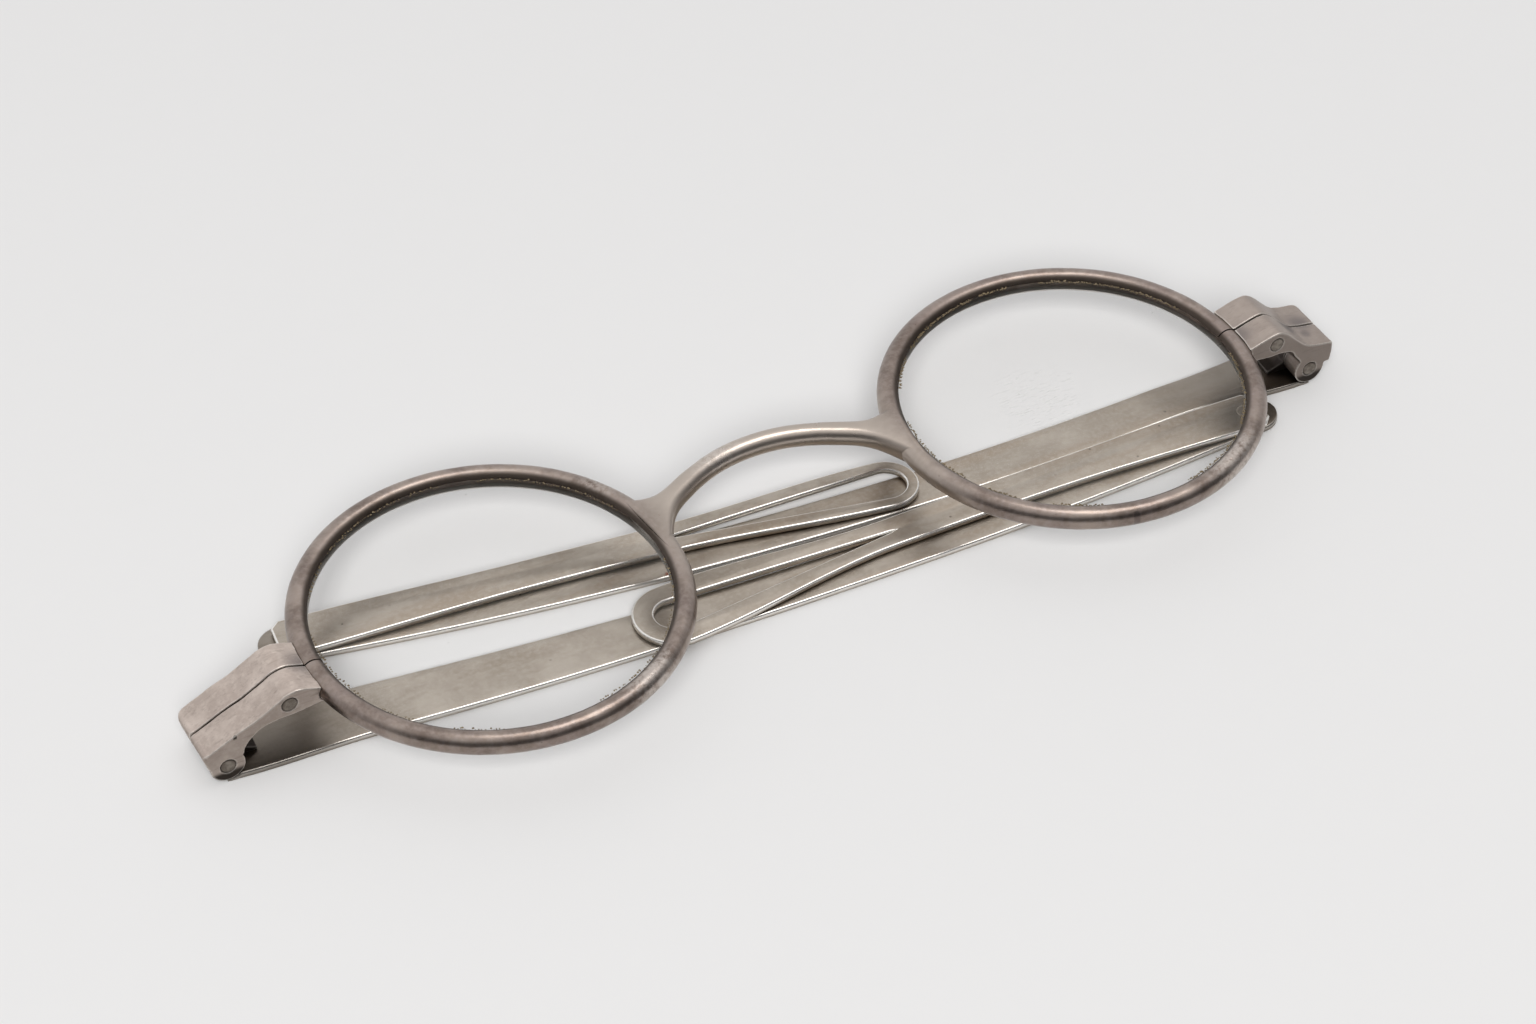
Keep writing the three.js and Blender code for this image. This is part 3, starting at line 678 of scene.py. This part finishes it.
def bridge_edge(fork, offset):
    """Points that an edge of the bridge passes through, from the left rim to the right."""
    end = on_rim(fork["end"], FLARE_SINK)
    hollow = on_rim(fork["hollow"], -FLARE_HOLLOW)
    radius = ARCH_RADIUS + offset
    arch = [(share * ARCH_HALF, BRIDGE_RISE - ARCH_RADIUS + sqrt(radius ** 2 - (share * ARCH_HALF) ** 2))
            for share in (-1, -0.5, 0, 0.5, 1)]
    points = [end, hollow] + arch + [(-hollow[0], hollow[1]), (-end[0], end[1])]
    return [Vector(point) for point in points]


def curve_through(points, share):
    """Point on the smooth curve through points, by the share of the way from the first to the last."""
    at = share * (len(points) - 1)
    i = min(int(at), len(points) - 2)
    t = at - i
    p1, p2 = points[i], points[i + 1]
    p0 = points[i - 1] if i > 0 else p1
    p3 = points[i + 2] if i + 2 < len(points) else p2
    v1, v2 = (p2 - p0) / 2, (p3 - p1) / 2
    return (2 * t ** 3 - 3 * t ** 2 + 1) * p1 + (t ** 3 - 2 * t ** 2 + t) * v1 \
        + (3 * t ** 2 - 2 * t ** 3) * p2 + (t ** 3 - t ** 2) * v2


def soft_step(value, start, stop):
    """0 at start and 1 at stop, with a soft step between."""
    share = min(max((value - start) / (stop - start), 0.0), 1.0)
    return share * share * (3 - 2 * share)


# %% Bridge as a skin between its two edges
def bridge_rows(steps=150, sides=32):
    """Rows of points round the bar, from the left rim to the right."""
    upper = bridge_edge(UPPER_FORK, BRIDGE_WIRE / 2)
    lower = bridge_edge(LOWER_FORK, -BRIDGE_WIRE / 2)
    rows = []
    for i in range(steps + 1):
        share = i / steps
        top, foot = curve_through(upper, share), curve_through(lower, share)
        middle, across = (top + foot) / 2, (top - foot) / 2
        half = across.length
        from_rim = hypot(EYE_HALF - abs(middle.x), middle.y) - RIM_OUTER
        solder = soft_step(from_rim, SOLDER_REACH, SOLDER_FULL)
        high = BRIDGE_THICKNESS / 2 + solder * (SOLDER_THICKNESS - BRIDGE_THICKNESS) / 2
        rounding = min(high, half)
        row = []
        for k in range(sides):
            angle = 2 * pi * (k + 0.5) / sides
            aside = cos(angle) * rounding + (half - rounding) * (1 if cos(angle) > 0 else -1)
            place = middle + across / half * aside
            row.append((MIDDLE_X + place.x, place.y, RIM_HEIGHT + high * sin(angle)))
        rows.append(row)
    return rows


points, faces = skin(bridge_rows())
bridge_mesh = mesh_from("bridge_bar", points, faces, sharp=60)
finish_piece("bridge_bar", bridge_mesh, wire_silver, "front", "bridge")

# %% [markdown]
# ## End pieces and knuckles
# The closing blocks and the temples' knuckles were filed by hand and are rounded by wear. Bevelling each
# edge by name would be slow and look machined, so a copy of the solid is turned into even small cells and
# smoothed, which rounds every edge as handling does. The bend of the surface then says where ridges are
# worn, and also painted bright as a highlight, and where dirt gathers in hollows. Faces that look down or
# sideways get painted shade, and the knuckles, under the end pieces, are darkened all over with dirt and
# painted shade.

# %% A worn copy of a solid
MERGE = 0.002
CELL = 0.07
RUBS = 4


def worn_copy(node, name):
    """Copy of a solid with its edges rounded, in metres."""
    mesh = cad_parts[node].data.copy()
    reshape(mesh, lambda shaped: bmesh.ops.remove_doubles(shaped, verts=shaped.verts, dist=MERGE * MM))
    carrier = new_piece(name, mesh)
    cells = carrier.modifiers.new("cells", "REMESH")
    cells.mode = "VOXEL"
    cells.voxel_size = CELL * MM
    rub = carrier.modifiers.new("rub", "SMOOTH")
    rub.factor = 0.5
    rub.iterations = RUBS
    return plain_mesh(carrier)


# %% Bend of a surface
def point_arrays(mesh):
    """Places and normals of a mesh's points as two arrays."""
    place = np.empty(len(mesh.vertices) * 3)
    normal = np.empty(len(mesh.vertices) * 3)
    mesh.vertices.foreach_get("co", place)
    mesh.vertices.foreach_get("normal", normal)
    return place.reshape(-1, 3), normal.reshape(-1, 3)


def surface_bend(mesh, rounds):
    """How far the surface bends at each point: positive on ridges, negative in hollows."""
    place, normal = point_arrays(mesh)
    edges = np.empty(len(mesh.edges) * 2, dtype=np.int32)
    mesh.edges.foreach_get("vertices", edges)
    first, second = edges.reshape(-1, 2).T
    between = place[second] - place[first]
    length = np.linalg.norm(between, axis=1) ** 2 + 1e-18
    bend = np.zeros(len(place))
    ways = np.zeros(len(place))
    np.add.at(bend, first, -(normal[first] * between).sum(1) / length)
    np.add.at(bend, second, (normal[second] * between).sum(1) / length)
    np.add.at(ways, first, 1)
    np.add.at(ways, second, 1)
    bend /= np.maximum(ways, 1)
    for _ in range(rounds):
        total = bend.copy()
        np.add.at(total, first, bend[second])
        np.add.at(total, second, bend[first])
        bend = total / (ways + 1)
    return bend * MM


# %% Dents and rounded corners
DENT_SCALE = 0.8
DENT_DEPTH = 0.03


def dent(mesh):
    """Moves the points a little along their normals, as years of handling do."""
    place, normal = point_arrays(mesh)
    height = np.array([noise.noise(Vector(point) / MM * DENT_SCALE) for point in place])
    mesh.vertices.foreach_set("co", (place + normal * height[:, None] * DENT_DEPTH * MM).ravel())
    mesh.update()


def round_corner(mesh, corner, ways, radius):
    """Rounds an upright corner of a mesh, seen from above; ways point out of it along x and y."""
    place, _ = point_arrays(mesh)
    ways = np.array(ways)
    centre = np.array(corner) - ways * radius * MM
    out = (place[:, :2] - centre) * ways
    far = np.linalg.norm(out, axis=1)
    beyond = (out > 0).all(1) & (far > radius * MM)
    place[beyond, :2] = centre + (out * ways)[beyond] * (radius * MM / far[beyond])[:, None]
    mesh.vertices.foreach_set("co", place.ravel())
    mesh.update()


# %% End pieces and knuckles
CORNER = {"upper": (1, 0.9), "lower": (-1, 0.45)}
UNDER_SHADE = 0.7
WALL_SHADE = 0.38
KNUCKLE_SHADE_AND_DIRT = 0.55


def share_of(values, start, stop):
    """0 at start and 1 at stop for each of many values, with a straight slope between."""
    return np.clip((values - start) / (stop - start), 0, 1)


def filed_piece(node, name, body, rounding=None, shade_and_dirt=0.0):
    """A worn copy of a node, with its wear and painted highlight, and its dirt and painted shade, kept on the
    mesh.
    """
    mesh = worn_copy(node, name)
    if rounding:
        round_corner(mesh, *rounding)
    dent(mesh)
    bend = surface_bend(mesh, 3)
    level = point_arrays(mesh)[1][:, 2]
    # Painted shade on faces that look down and on upright side walls, and dirt in the hollows; all of it is
    # kept in the number named hollow.
    under_shade = share_of(-level, 0.25, 0.75) * UNDER_SHADE
    wall_shade = share_of(abs(level), 0.75, 0.35) * WALL_SHADE
    corner = share_of(-bend, 0.7, 1.9)
    # Ridges are worn, and the finish also paints them bright as a highlight.
    keep_number(mesh, "wear", share_of(bend, 0.6, 2.0) * (1 - shade_and_dirt))
    keep_number(mesh, "hollow", np.maximum.reduce([under_shade, wall_shade, corner, np.full(len(bend), shade_and_dirt)]))
    smooth(mesh, 75)
    finish_piece(name, mesh, end_silver, body, node)


for side, hand in HAND.items():
    for half, (way, radius) in CORNER.items():
        node = f"{side}_{half}_block"
        low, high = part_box(node)
        corner = (high[0] if hand > 0 else low[0], high[1] if way > 0 else low[1])
        filed_piece(node, f"{side}_{half}_end", "front", (corner, (hand, way), radius))
    # The knuckles sit under the end pieces and are darkened all over, with dirt and painted shade.
    filed_piece(f"{side}_temple_knuckle", f"{side}_knuckle", f"{side}_side", shade_and_dirt=KNUCKLE_SHADE_AND_DIRT)

# %% [markdown]
# ## Pins
# A pin through each pair of blocks holds the rim shut, and a second one is the hinge. Both were hammered
# over a little at their ends, so each is turned from a profile with a low dome and a dark ring of dirt at
# its edge. A third pin, nearly flush, lets the extension turn on the temple.

# %% Profiles of the pins
PIN_RADIUS = 0.7
PIN_DOME = 0.07
PIN_SINK = 0.04
TURN_PIN_RADIUS = 0.8


def pin_profile(half):
    """Radius and height of a pin with a low dome at each end, from its foot to its top."""
    dome = [(PIN_RADIUS * sin(a), half - PIN_SINK + PIN_DOME * cos(a)) for a in np.linspace(0, pi / 2, 8)]
    return [(r, -h) for r, h in dome] + dome[::-1]


def turn_pin_profile(half, flush):
    """A straight shank, hammered down to a low dome over the extension."""
    dome = [(TURN_PIN_RADIUS * cos(a), flush + PIN_DOME / 2 * sin(a)) for a in np.linspace(0, pi / 2, 8)]
    dome[-1] = (0.0, flush + PIN_DOME / 2)
    return [(0.0, -half), (TURN_PIN_RADIUS, -half)] + dome


def half_length(node, axis):
    """Half a node's length along an axis, in millimetres."""
    low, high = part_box(node)
    return (high[axis] - low[axis]) / 2 / MM


# %% Block pins, hinge pins and turn pins
PIN_SEGMENTS = 40
RING_START = 0.82
HINGE_CANT = radians(4.15)


def pin_piece(node, name, body, profile, direction, material, ring):
    """Turns a profile about a line through the middle of a node's box; ring says how dark its edge is."""
    low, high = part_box(node)
    middle = (Vector(low) + Vector(high)) / 2 / MM
    turn = Vector((0, 0, 1)).rotation_difference(direction).to_matrix()
    points, faces = turned(profile, PIN_SEGMENTS, lambda x, y, z: tuple(middle + turn @ Vector((x, y, z))))
    radii = [0] + [r for r, _ in profile[1:-1] for _ in range(PIN_SEGMENTS)] + [0]
    rim = max(radii)
    wear = [ring * soft_step(r / rim, RING_START, 1.0) for r in radii]
    mesh = mesh_from(name, points, faces, wear, sharp=50)
    finish_piece(name, mesh, material, body, node)


CANTED = Vector((sin(HINGE_CANT), cos(HINGE_CANT), 0))
for side in HAND:
    for kind, direction in (("block", Vector((0, 1, 0))), ("hinge", CANTED)):
        node = f"{side}_{kind}_pin"
        profile = pin_profile(half_length(node, 1))
        pin_piece(node, f"{side}_{kind}_rivet", "front", profile, direction, pin_silver, 1.0)
    node = f"{side}_turn_pin"
    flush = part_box(f"{side}_extension")[1][2] / MM - half_length(node, 2)
    profile = turn_pin_profile(half_length(node, 2), flush)
    pin_piece(node, f"{side}_turn_rivet", f"{side}_side", profile, Vector((0, 0, 1)), strip_silver, 0.0)

# %% [markdown]
# ## Temples
# A temple is a thin strip, broad at the hinge and bowed to the curve of the head. It is made station by
# station along its length: each station is a flat section with rounded corners, so the worn edge, which the
# finish also paints bright as a highlight, is real shape. Under the knuckles the section thins out to make
# room for them.

# %% Sizes and bow of the temples
HINGE_X = {side: abs(sum(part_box(f"{side}_hinge_pin")[i][0] for i in (0, 1)) / 2) / MM for side in HAND}
REACH = {"left": 101.5, "right": 99.0}
OVERHANG = 1.0
RISE = radians(1.4)
BOW = {"left": 2.9, "right": 3.6}
TEMPLE_WIDTH = 4.5
HEAD_WIDTH = 6.2
TAPER = {"left": 65.0, "right": 12.0}
HEAD_OFFSET = 1.0
OFFSET_LENGTH = 15.0
STRIP = 0.65
LIP_REACH = 0.15
HINGE_Z = 1.95
HOLLOW_RADIUS = 1.68
EDGE = 0.2


def beside(side, x, y):
    """Place of a point of a temple that is drawn from its hinge along x."""
    along = -HAND[side] * x
    return (HAND[side] * HINGE_X[side] + along * cos(HINGE_CANT) + y * sin(HINGE_CANT),
            -along * sin(HINGE_CANT) + y * cos(HINGE_CANT))


def temple_middle(side, x):
    """How far aside the bowed middle of the strip lies."""
    share = min(x, REACH[side] + OVERHANG) / REACH[side]
    aside = HEAD_OFFSET * soft_step(x, 0, OFFSET_LENGTH) * (1 - share)
    return aside + share * REACH[side] * tan(RISE) - 4 * BOW[side] * share * (1 - share)


def temple_half(side, x):
    """Half the strip's width, with a round end past the turn pin."""
    half = (HEAD_WIDTH + (TEMPLE_WIDTH - HEAD_WIDTH) * soft_step(x, 0, TAPER[side])) / 2
    past = max(x - REACH[side] - OVERHANG, 0.0)
    return sqrt(max(half ** 2 - past ** 2, 1e-4))


def temple_top(x):
    """Height of the strip, which is hollowed under the knuckles."""
    if abs(x) >= HOLLOW_RADIUS:
        return STRIP
    return min(STRIP, HINGE_Z - sqrt(HOLLOW_RADIUS ** 2 - x * x))


# %% Temple strips, station by station
def section_points(half, top, flats=8, corner=4):
    """Section of a strip, anticlockwise from the middle of its underside: (aside, height, wear and highlight)
    rows.
    """
    r = min(EDGE, half * 0.9, top * 0.42)
    centres = [(half - r, r, -90), (half - r, top - r, 0), (r - half, top - r, 90), (r - half, r, 180)]
    row = []
    for n, (across, height, start) in enumerate(centres):
        for i in range(corner + 1):
            angle = radians(start + 90 * i / corner)
            edge_wear_and_highlight = float((n == 1 and i < corner) or (n == 2 and i > 0))
            row.append((across + r * cos(angle), height + r * sin(angle), edge_wear_and_highlight))
        if n in (1, 3):
            across_end = centres[(n + 1) % 4][0]
            for i in range(1, flats):
                row.append((across + (across_end - across) * i / flats, top if n == 1 else 0.0, 0.0))
    return row


def temple_stations(end):
    """Places along the strip, closest together at the hinge and in the round end."""
    near = list(np.linspace(-LIP_REACH, 1.5, 24)) + list(np.linspace(1.6, OFFSET_LENGTH, 40))
    long = list(np.linspace(OFFSET_LENGTH + 0.8, end, 90))
    tip = [end + TEMPLE_WIDTH / 2 * sin(pi / 2 * i / 14) for i in range(1, 15)]
    return near + long + tip


for side in HAND:
    rows, wear = [], []
    for x in temple_stations(REACH[side] + OVERHANG):
        section = section_points(temple_half(side, x), temple_top(x))
        middle = temple_middle(side, x)
        rows.append([beside(side, x, middle + aside) + (height,) for aside, height, _ in section])
        wear += [edge_wear_and_highlight for _, _, edge_wear_and_highlight in section]
    points, faces = skin(rows)
    mesh = mesh_from(f"{side}_temple_strip", points, faces, wear, sharp=50)
    finish_piece(f"{side}_temple_strip", mesh, strip_silver, f"{side}_side", f"{side}_temple")

# %% [markdown]
# ## Extensions
# Each extension is a flat strip that widens into a long loop for a ribbon. A plate with a hole can't be
# made station by station, so its outline and its opening are drawn flat, and rings of points step from the
# underside round the edge to the top. The corners are rounded in the same way as the temples'.

# %% Outline and opening of an extension
LENGTH = {"left": 63.2, "right": 59.2}
TURN = {"left": radians(1.9), "right": radians(2)}
EXTENSION_RISE = {"left": 0.7, "right": 0.3}
OPENING = {"left": 24.5, "right": 24.0}
LOOP = {"left": 7.6, "right": 6.2}
LOOP_ARM = {"left": 2.0, "right": 1.15}
EXTENSION_WIDTH = 3.6
EXTENSION_HEAD = 4.6
EXTENSION_TAIL = 1.7
TAIL_CHAMFER = 0.8
LOOP_FLARE = 22.0
EXTENSION_Z = 0.71


def extension_middle(side, x):
    """How far aside the strip's middle lies, in a low bow."""
    share = x / LENGTH[side]
    return -4 * EXTENSION_RISE[side] * share * (1 - share)


def extension_half(side, x):
    """Half the strip's width, which grows towards the pin and towards the loop."""
    loop_x = LENGTH[side] - LOOP[side] / 2
    neck = EXTENSION_HEAD + (EXTENSION_WIDTH - EXTENSION_HEAD) * soft_step(x, 0, LOOP_FLARE)
    return (neck + (LOOP[side] - neck) * soft_step(x, loop_x - LOOP_FLARE, loop_x)) / 2


def round_end(x, y, radius, steps=24):
    """Points of a half circle, without its two ends."""
    return [(x + radius * sin(pi * i / steps), y - radius * cos(pi * i / steps)) for i in range(1, steps)]


def extension_outline(side):
    """The strip's outline: a chamfered tail, two bowed sides and a round tip."""
    loop_x = LENGTH[side] - LOOP[side] / 2
    stations = np.linspace(TAIL_CHAMFER - EXTENSION_TAIL, loop_x, 90)
    tail = EXTENSION_HEAD / 2 - TAIL_CHAMFER
    level = extension_middle(side, -EXTENSION_TAIL)
    near = [(x, extension_middle(side, x) - extension_half(side, x)) for x in stations]
    far = [(x, extension_middle(side, x) + extension_half(side, x)) for x in stations[::-1]]
    tip = round_end(loop_x, extension_middle(side, loop_x), LOOP[side] / 2)
    return [(-EXTENSION_TAIL, level + tail), (-EXTENSION_TAIL, level - tail)] + near + tip + far


def extension_opening(side):
    """The loop's opening: a long point that widens to a round end."""
    loop_x = LENGTH[side] - LOOP[side] / 2
    half = LOOP[side] / 2 - LOOP_ARM[side]
    start = LENGTH[side] - LOOP_ARM[side] - OPENING[side]
    point = Vector((start, extension_middle(side, start)))
    level = extension_middle(side, loop_x)
    shares = np.linspace(0, 1, 40)[1:]
    lower = [tuple(point.lerp(Vector((loop_x, level - half)), share)) for share in shares]
    upper = [tuple(point.lerp(Vector((loop_x, level + half)), share)) for share in shares[::-1]]
    return [tuple(point)] + lower + round_end(loop_x, level, half) + upper


# %% A plate with a hole and rounded edges
def inset(loop, distance):
    """Moves a closed line sideways to its left, with long points cut short."""
    moved = []
    for i, point in enumerate(loop):
        before = (Vector(point) - Vector(loop[i - 1])).normalized()
        after = (Vector(loop[(i + 1) % len(loop)]) - Vector(point)).normalized()
        normals = [Vector((-way.y, way.x)) for way in (before, after)]
        both = normals[0] + normals[1]
        both = both.normalized() if both.length > 1e-6 else normals[0]
        stretch = 1 / max(both.dot(normals[0]), 0.7)
        moved.append(tuple(Vector(point) + both * distance * stretch))
    return moved


def edge_levels():
    """How far in, how high, and how worn and highlit each ring of points is, from the underside to the top.
    """
    rounding = [(EDGE * (1 - cos(a)), EDGE * (1 - sin(a))) for a in np.linspace(0, pi / 2, 5)]
    lower = [(inner, height, 0.0) for inner, height in rounding[::-1]]
    upper = [(inner, STRIP - height, float(n < 4)) for n, (inner, height) in enumerate(rounding)]
    return lower + upper


def plate_with_hole(outline, opening, place):
    """Points, faces, and wear and highlight of a flat plate with rounded edges and one hole."""
    points, faces, wear = [], [], []
    levels = edge_levels()
    for loop, way in ((outline, 1), (opening, -1)):
        first = len(points)
        count = len(loop)
        for inner, height, edge_wear_and_highlight in levels:
            points += [place(x, y, height) for x, y in inset(loop, way * inner)]
            wear += [edge_wear_and_highlight] * count
        for i in range(len(levels) - 1):
            faces += band(first + i * count, first + (i + 1) * count, count)
    total = len(outline) * len(levels)
    for level in (0, len(levels) - 1):
        index = [level * len(outline) + k for k in range(len(outline))]
        index += [total + level * len(opening) + k for k in range(len(opening))]
        inner = levels[level][0]
        flat = [[Vector((x, y, 0)) for x, y in inset(outline, inner)],
                [Vector((x, y, 0)) for x, y in inset(opening, -inner)]]
        faces += [tuple(index[k] for k in corner) for corner in tessellate_polygon(flat)]
    return points, faces, wear


# %% Extension plates with a looped end
def extension_place(side):
    """Gives the place of a point that is drawn from the turn pin along the folded extension."""
    turn = pi + RISE + TURN[side]

    def place(x, y, height):
        along = REACH[side] + x * cos(turn) - y * sin(turn)
        aside = REACH[side] * tan(RISE) + x * sin(turn) + y * cos(turn)
        return beside(side, along, aside) + (EXTENSION_Z + height,)
    return place


for side in HAND:
    outline, opening = extension_outline(side), extension_opening(side)
    points, faces, wear = plate_with_hole(outline, opening, extension_place(side))
    mesh = mesh_from(f"{side}_looped_extension", points, faces, wear, sharp=50)
    finish_piece(f"{side}_looped_extension", mesh, strip_silver, f"{side}_tip", f"{side}_extension")

# %% [markdown]
# ## Grime in the grooves
# Dust and polish have caked into crumbs along the edge of each glass. Hundreds of crumbs are a job for
# a node tree: points along a circle, some left out by chance, each with a small rough ball of its own size.

# %% A node tree that strews crumbs round an eye
CRUMB_SPREAD = 0.12
CRUMB_LEAST, CRUMB_MOST = (0.4, 0.4, 0.3), (1.5, 1.5, 0.9)
BARE_SHARE = 0.47


def crumb_tree(material):
    """Strews small rough balls along a circle, with some stretches left bare."""
    crumbs = Tree("groove crumbs", {"Radius": "Float", "Centre": "Vector", "Count": "Int", "Size": "Float",
                                    "Seed": "Int"})
    of = crumbs.inputs
    circle = crumbs.add("GeometryNodeCurvePrimitiveCircle", Resolution=256, Radius=of["Radius"])
    points = crumbs.add("GeometryNodeCurveToPoints", {"mode": "COUNT"}, Curve=circle.outputs["Curve"],
                        Count=of["Count"])
    patch = crumbs.add("ShaderNodeTexNoise", {"noise_dimensions": "3D"}, Scale=160.0, Detail=2.0)
    bare = crumbs.add("FunctionNodeCompare", {"data_type": "FLOAT", "operation": "LESS_THAN"},
                      patch.outputs[0], BARE_SHARE)
    kept = crumbs.add("GeometryNodeDeleteGeometry", {"domain": "POINT"}, Geometry=points.outputs["Points"],
                      Selection=bare.outputs[0])
    spread = CRUMB_SPREAD * MM
    chance = {"data_type": "FLOAT_VECTOR"}
    shift = crumbs.add("FunctionNodeRandomValue", chance, (-spread, -spread, -spread / 6),
                       (spread, spread, spread), Seed=of["Seed"])
    strewn = crumbs.add("GeometryNodeSetPosition", Geometry=kept.outputs[0], Offset=shift.outputs[0])
    ball = crumbs.add("GeometryNodeMeshIcoSphere", Radius=of["Size"], Subdivisions=1)
    scale = crumbs.add("FunctionNodeRandomValue", chance, CRUMB_LEAST, CRUMB_MOST, Seed=of["Seed"])
    placed = crumbs.add("GeometryNodeInstanceOnPoints", Points=strewn.outputs[0],
                        Instance=ball.outputs["Mesh"], Scale=scale.outputs[0])
    moved = crumbs.add("GeometryNodeTransform", Geometry=placed.outputs[0], Translation=of["Centre"])
    crumbs.finish(moved.outputs[0], material)
    return crumbs


# %% Crumbs of grime along the edge of the glass
CRUMBS = {"left": 380, "right": 900}
CRUMB_SEED = {"left": 3, "right": 8}
CRUMB_SIZE = 0.085
CRUMB_INSET = 1.06
CRUMB_LIFT = 0.44
crumbs = crumb_tree(groove_grime)
for side in HAND:
    mesh = crumbs.run(f"{side}_groove_crumbs", {
        "Radius": (RIM_RADIUS - CRUMB_INSET) * MM, "Count": CRUMBS[side], "Size": CRUMB_SIZE * MM,
        "Centre": (EYE[side] * MM, 0.0, (RIM_HEIGHT + CRUMB_LIFT) * MM), "Seed": CRUMB_SEED[side]})
    smooth(mesh, 60)
    finish_piece(f"{side}_groove_crumbs", mesh, groove_grime, "front", None)

# %% [markdown]
# ## Table and light
# The spectacles lie on a plain pale table. A large soft lamp on the viewer's side lights the table and
# keeps the shadows mostly out of sight. Bare metal shows only what it reflects, so it has a lamp of its
# own above, and a pale room that is darker towards the viewer. The temples open downwards, through the
# table, so the table is clear when it is looked at from below.

# %% Table
TABLE_HALF = 1.5
TABLE_DROP = 0.02 * MM


def table():
    """One large face, just under the spectacles."""
    made = Finish("pale_table")
    grain = made.noise(300, 3.0)
    from_below = Value(made, made.add("ShaderNodeNewGeometry").outputs["Backfacing"])
    pale = made.mix(grain * 0.3, (0.80, 0.795, 0.79, 1), (0.775, 0.77, 0.765, 1))
    made.shade(Base_Color=pale, Roughness=0.75, Metallic=0.0, Alpha=1 - from_below)
    corners = [(x * TABLE_HALF, y * TABLE_HALF, -TABLE_DROP) for x, y in ((-1, -1), (1, -1), (1, 1), (-1, 1))]
    mesh = bpy.data.meshes.new("pale_table")
    mesh.from_pydata(corners, [], [(0, 1, 2, 3)])
    mesh.materials.append(made.material)
    new_piece("pale_table", mesh)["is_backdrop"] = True


table()


# %% Lamps and room
def lamp(name, place, size, power, colour, on_table):
    """A square lamp over the spectacles that lights either the table or the metal."""
    data = bpy.data.lights.new(name, "AREA")
    data.shape = "SQUARE"
    data.size = size
    data.energy = power
    data.color = colour
    made = bpy.data.objects.new(name, data)
    made.location = place
    made.rotation_euler = (-Vector(place)).to_track_quat("-Z", "Y").to_euler()
    made.visible_diffuse = on_table
    made.visible_glossy = not on_table
    scene.collection.objects.link(made)
    print(name, "of", power, "watts at", place)


def room(zenith, back, front, on_table):
    """A pale room, brightest overhead and darker on the side of the viewer, that lights the table less."""
    scene.world = bpy.data.worlds.new("room")
    scene.world.use_nodes = True
    made = Shader(scene.world.node_tree, "Generated")
    _, y, z = made.axes()
    sides = made.mix(y.ramp(-0.6, 0.6), front, back)
    whole = made.mix(z.ramp(0.5, 1.0), sides, zenith)
    ray = made.add("ShaderNodeLightPath").outputs
    seen = Value(made, ray["Is Camera Ray"]) + ray["Is Glossy Ray"] + ray["Is Transmission Ray"]
    background = made.tree.nodes["Background"]
    made.feed(background.inputs["Color"], whole)
    made.feed(background.inputs["Strength"], seen.ramp(0, 1) * (1 - on_table) + on_table)


lamp("table_light", (-0.88, -1.63, 1.68), 1.2, 58.0, (1.0, 0.995, 0.99), True)
lamp("glint", (0.22, 0.02, 0.88), 0.4, 1.8, (1.0, 0.98, 0.96), False)
room((1.05, 1.05, 1.06, 1), (0.88, 0.88, 0.89, 1), (0.12, 0.12, 0.125, 1), on_table=0.58)

# %% [markdown]
# ## Camera
# The photograph was taken from above the left front with a long lens. The place and the lens were found by
# matching the two rims and the bridge with the picture.

# %% Camera at the photograph's viewing angle
AZIMUTH, ELEVATION = radians(-28.40), radians(42.12)
TARGET = Vector((1.24, 4.95, 0.3)) * MM
DISTANCE = 382.5 * MM
SENSOR_WIDTH = 36.0
IMAGE_WIDTH, FOCAL_PIXELS = 1536, 4200
back = Vector((sin(AZIMUTH) * cos(ELEVATION), -cos(AZIMUTH) * cos(ELEVATION), sin(ELEVATION)))
right = Vector((cos(AZIMUTH), sin(AZIMUTH), 0))
camera = bpy.data.objects.new("camera", bpy.data.cameras.new("camera"))
camera.data.sensor_width = SENSOR_WIDTH
camera.data.lens = SENSOR_WIDTH * FOCAL_PIXELS / IMAGE_WIDTH
camera.data.clip_start = 0.01
turn = Matrix((right, back.cross(right), back)).transposed().to_4x4()
camera.matrix_world = Matrix.Translation(TARGET + back * DISTANCE) @ turn
scene.collection.objects.link(camera)
scene.camera = camera
scene.view_settings.view_transform = "Standard"
print("camera at", [round(value / MM, 1) for value in camera.location])

# %% [markdown]
# ## Size
# The size of the dressed model's box is printed, in millimetres. The dressed model has to stay inside the
# solid model's box.

# %% Print the dressed model's box
low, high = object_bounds()
print("visual box in mm:", [round((b - a) / MM, 2) for a, b in zip(low, high)])
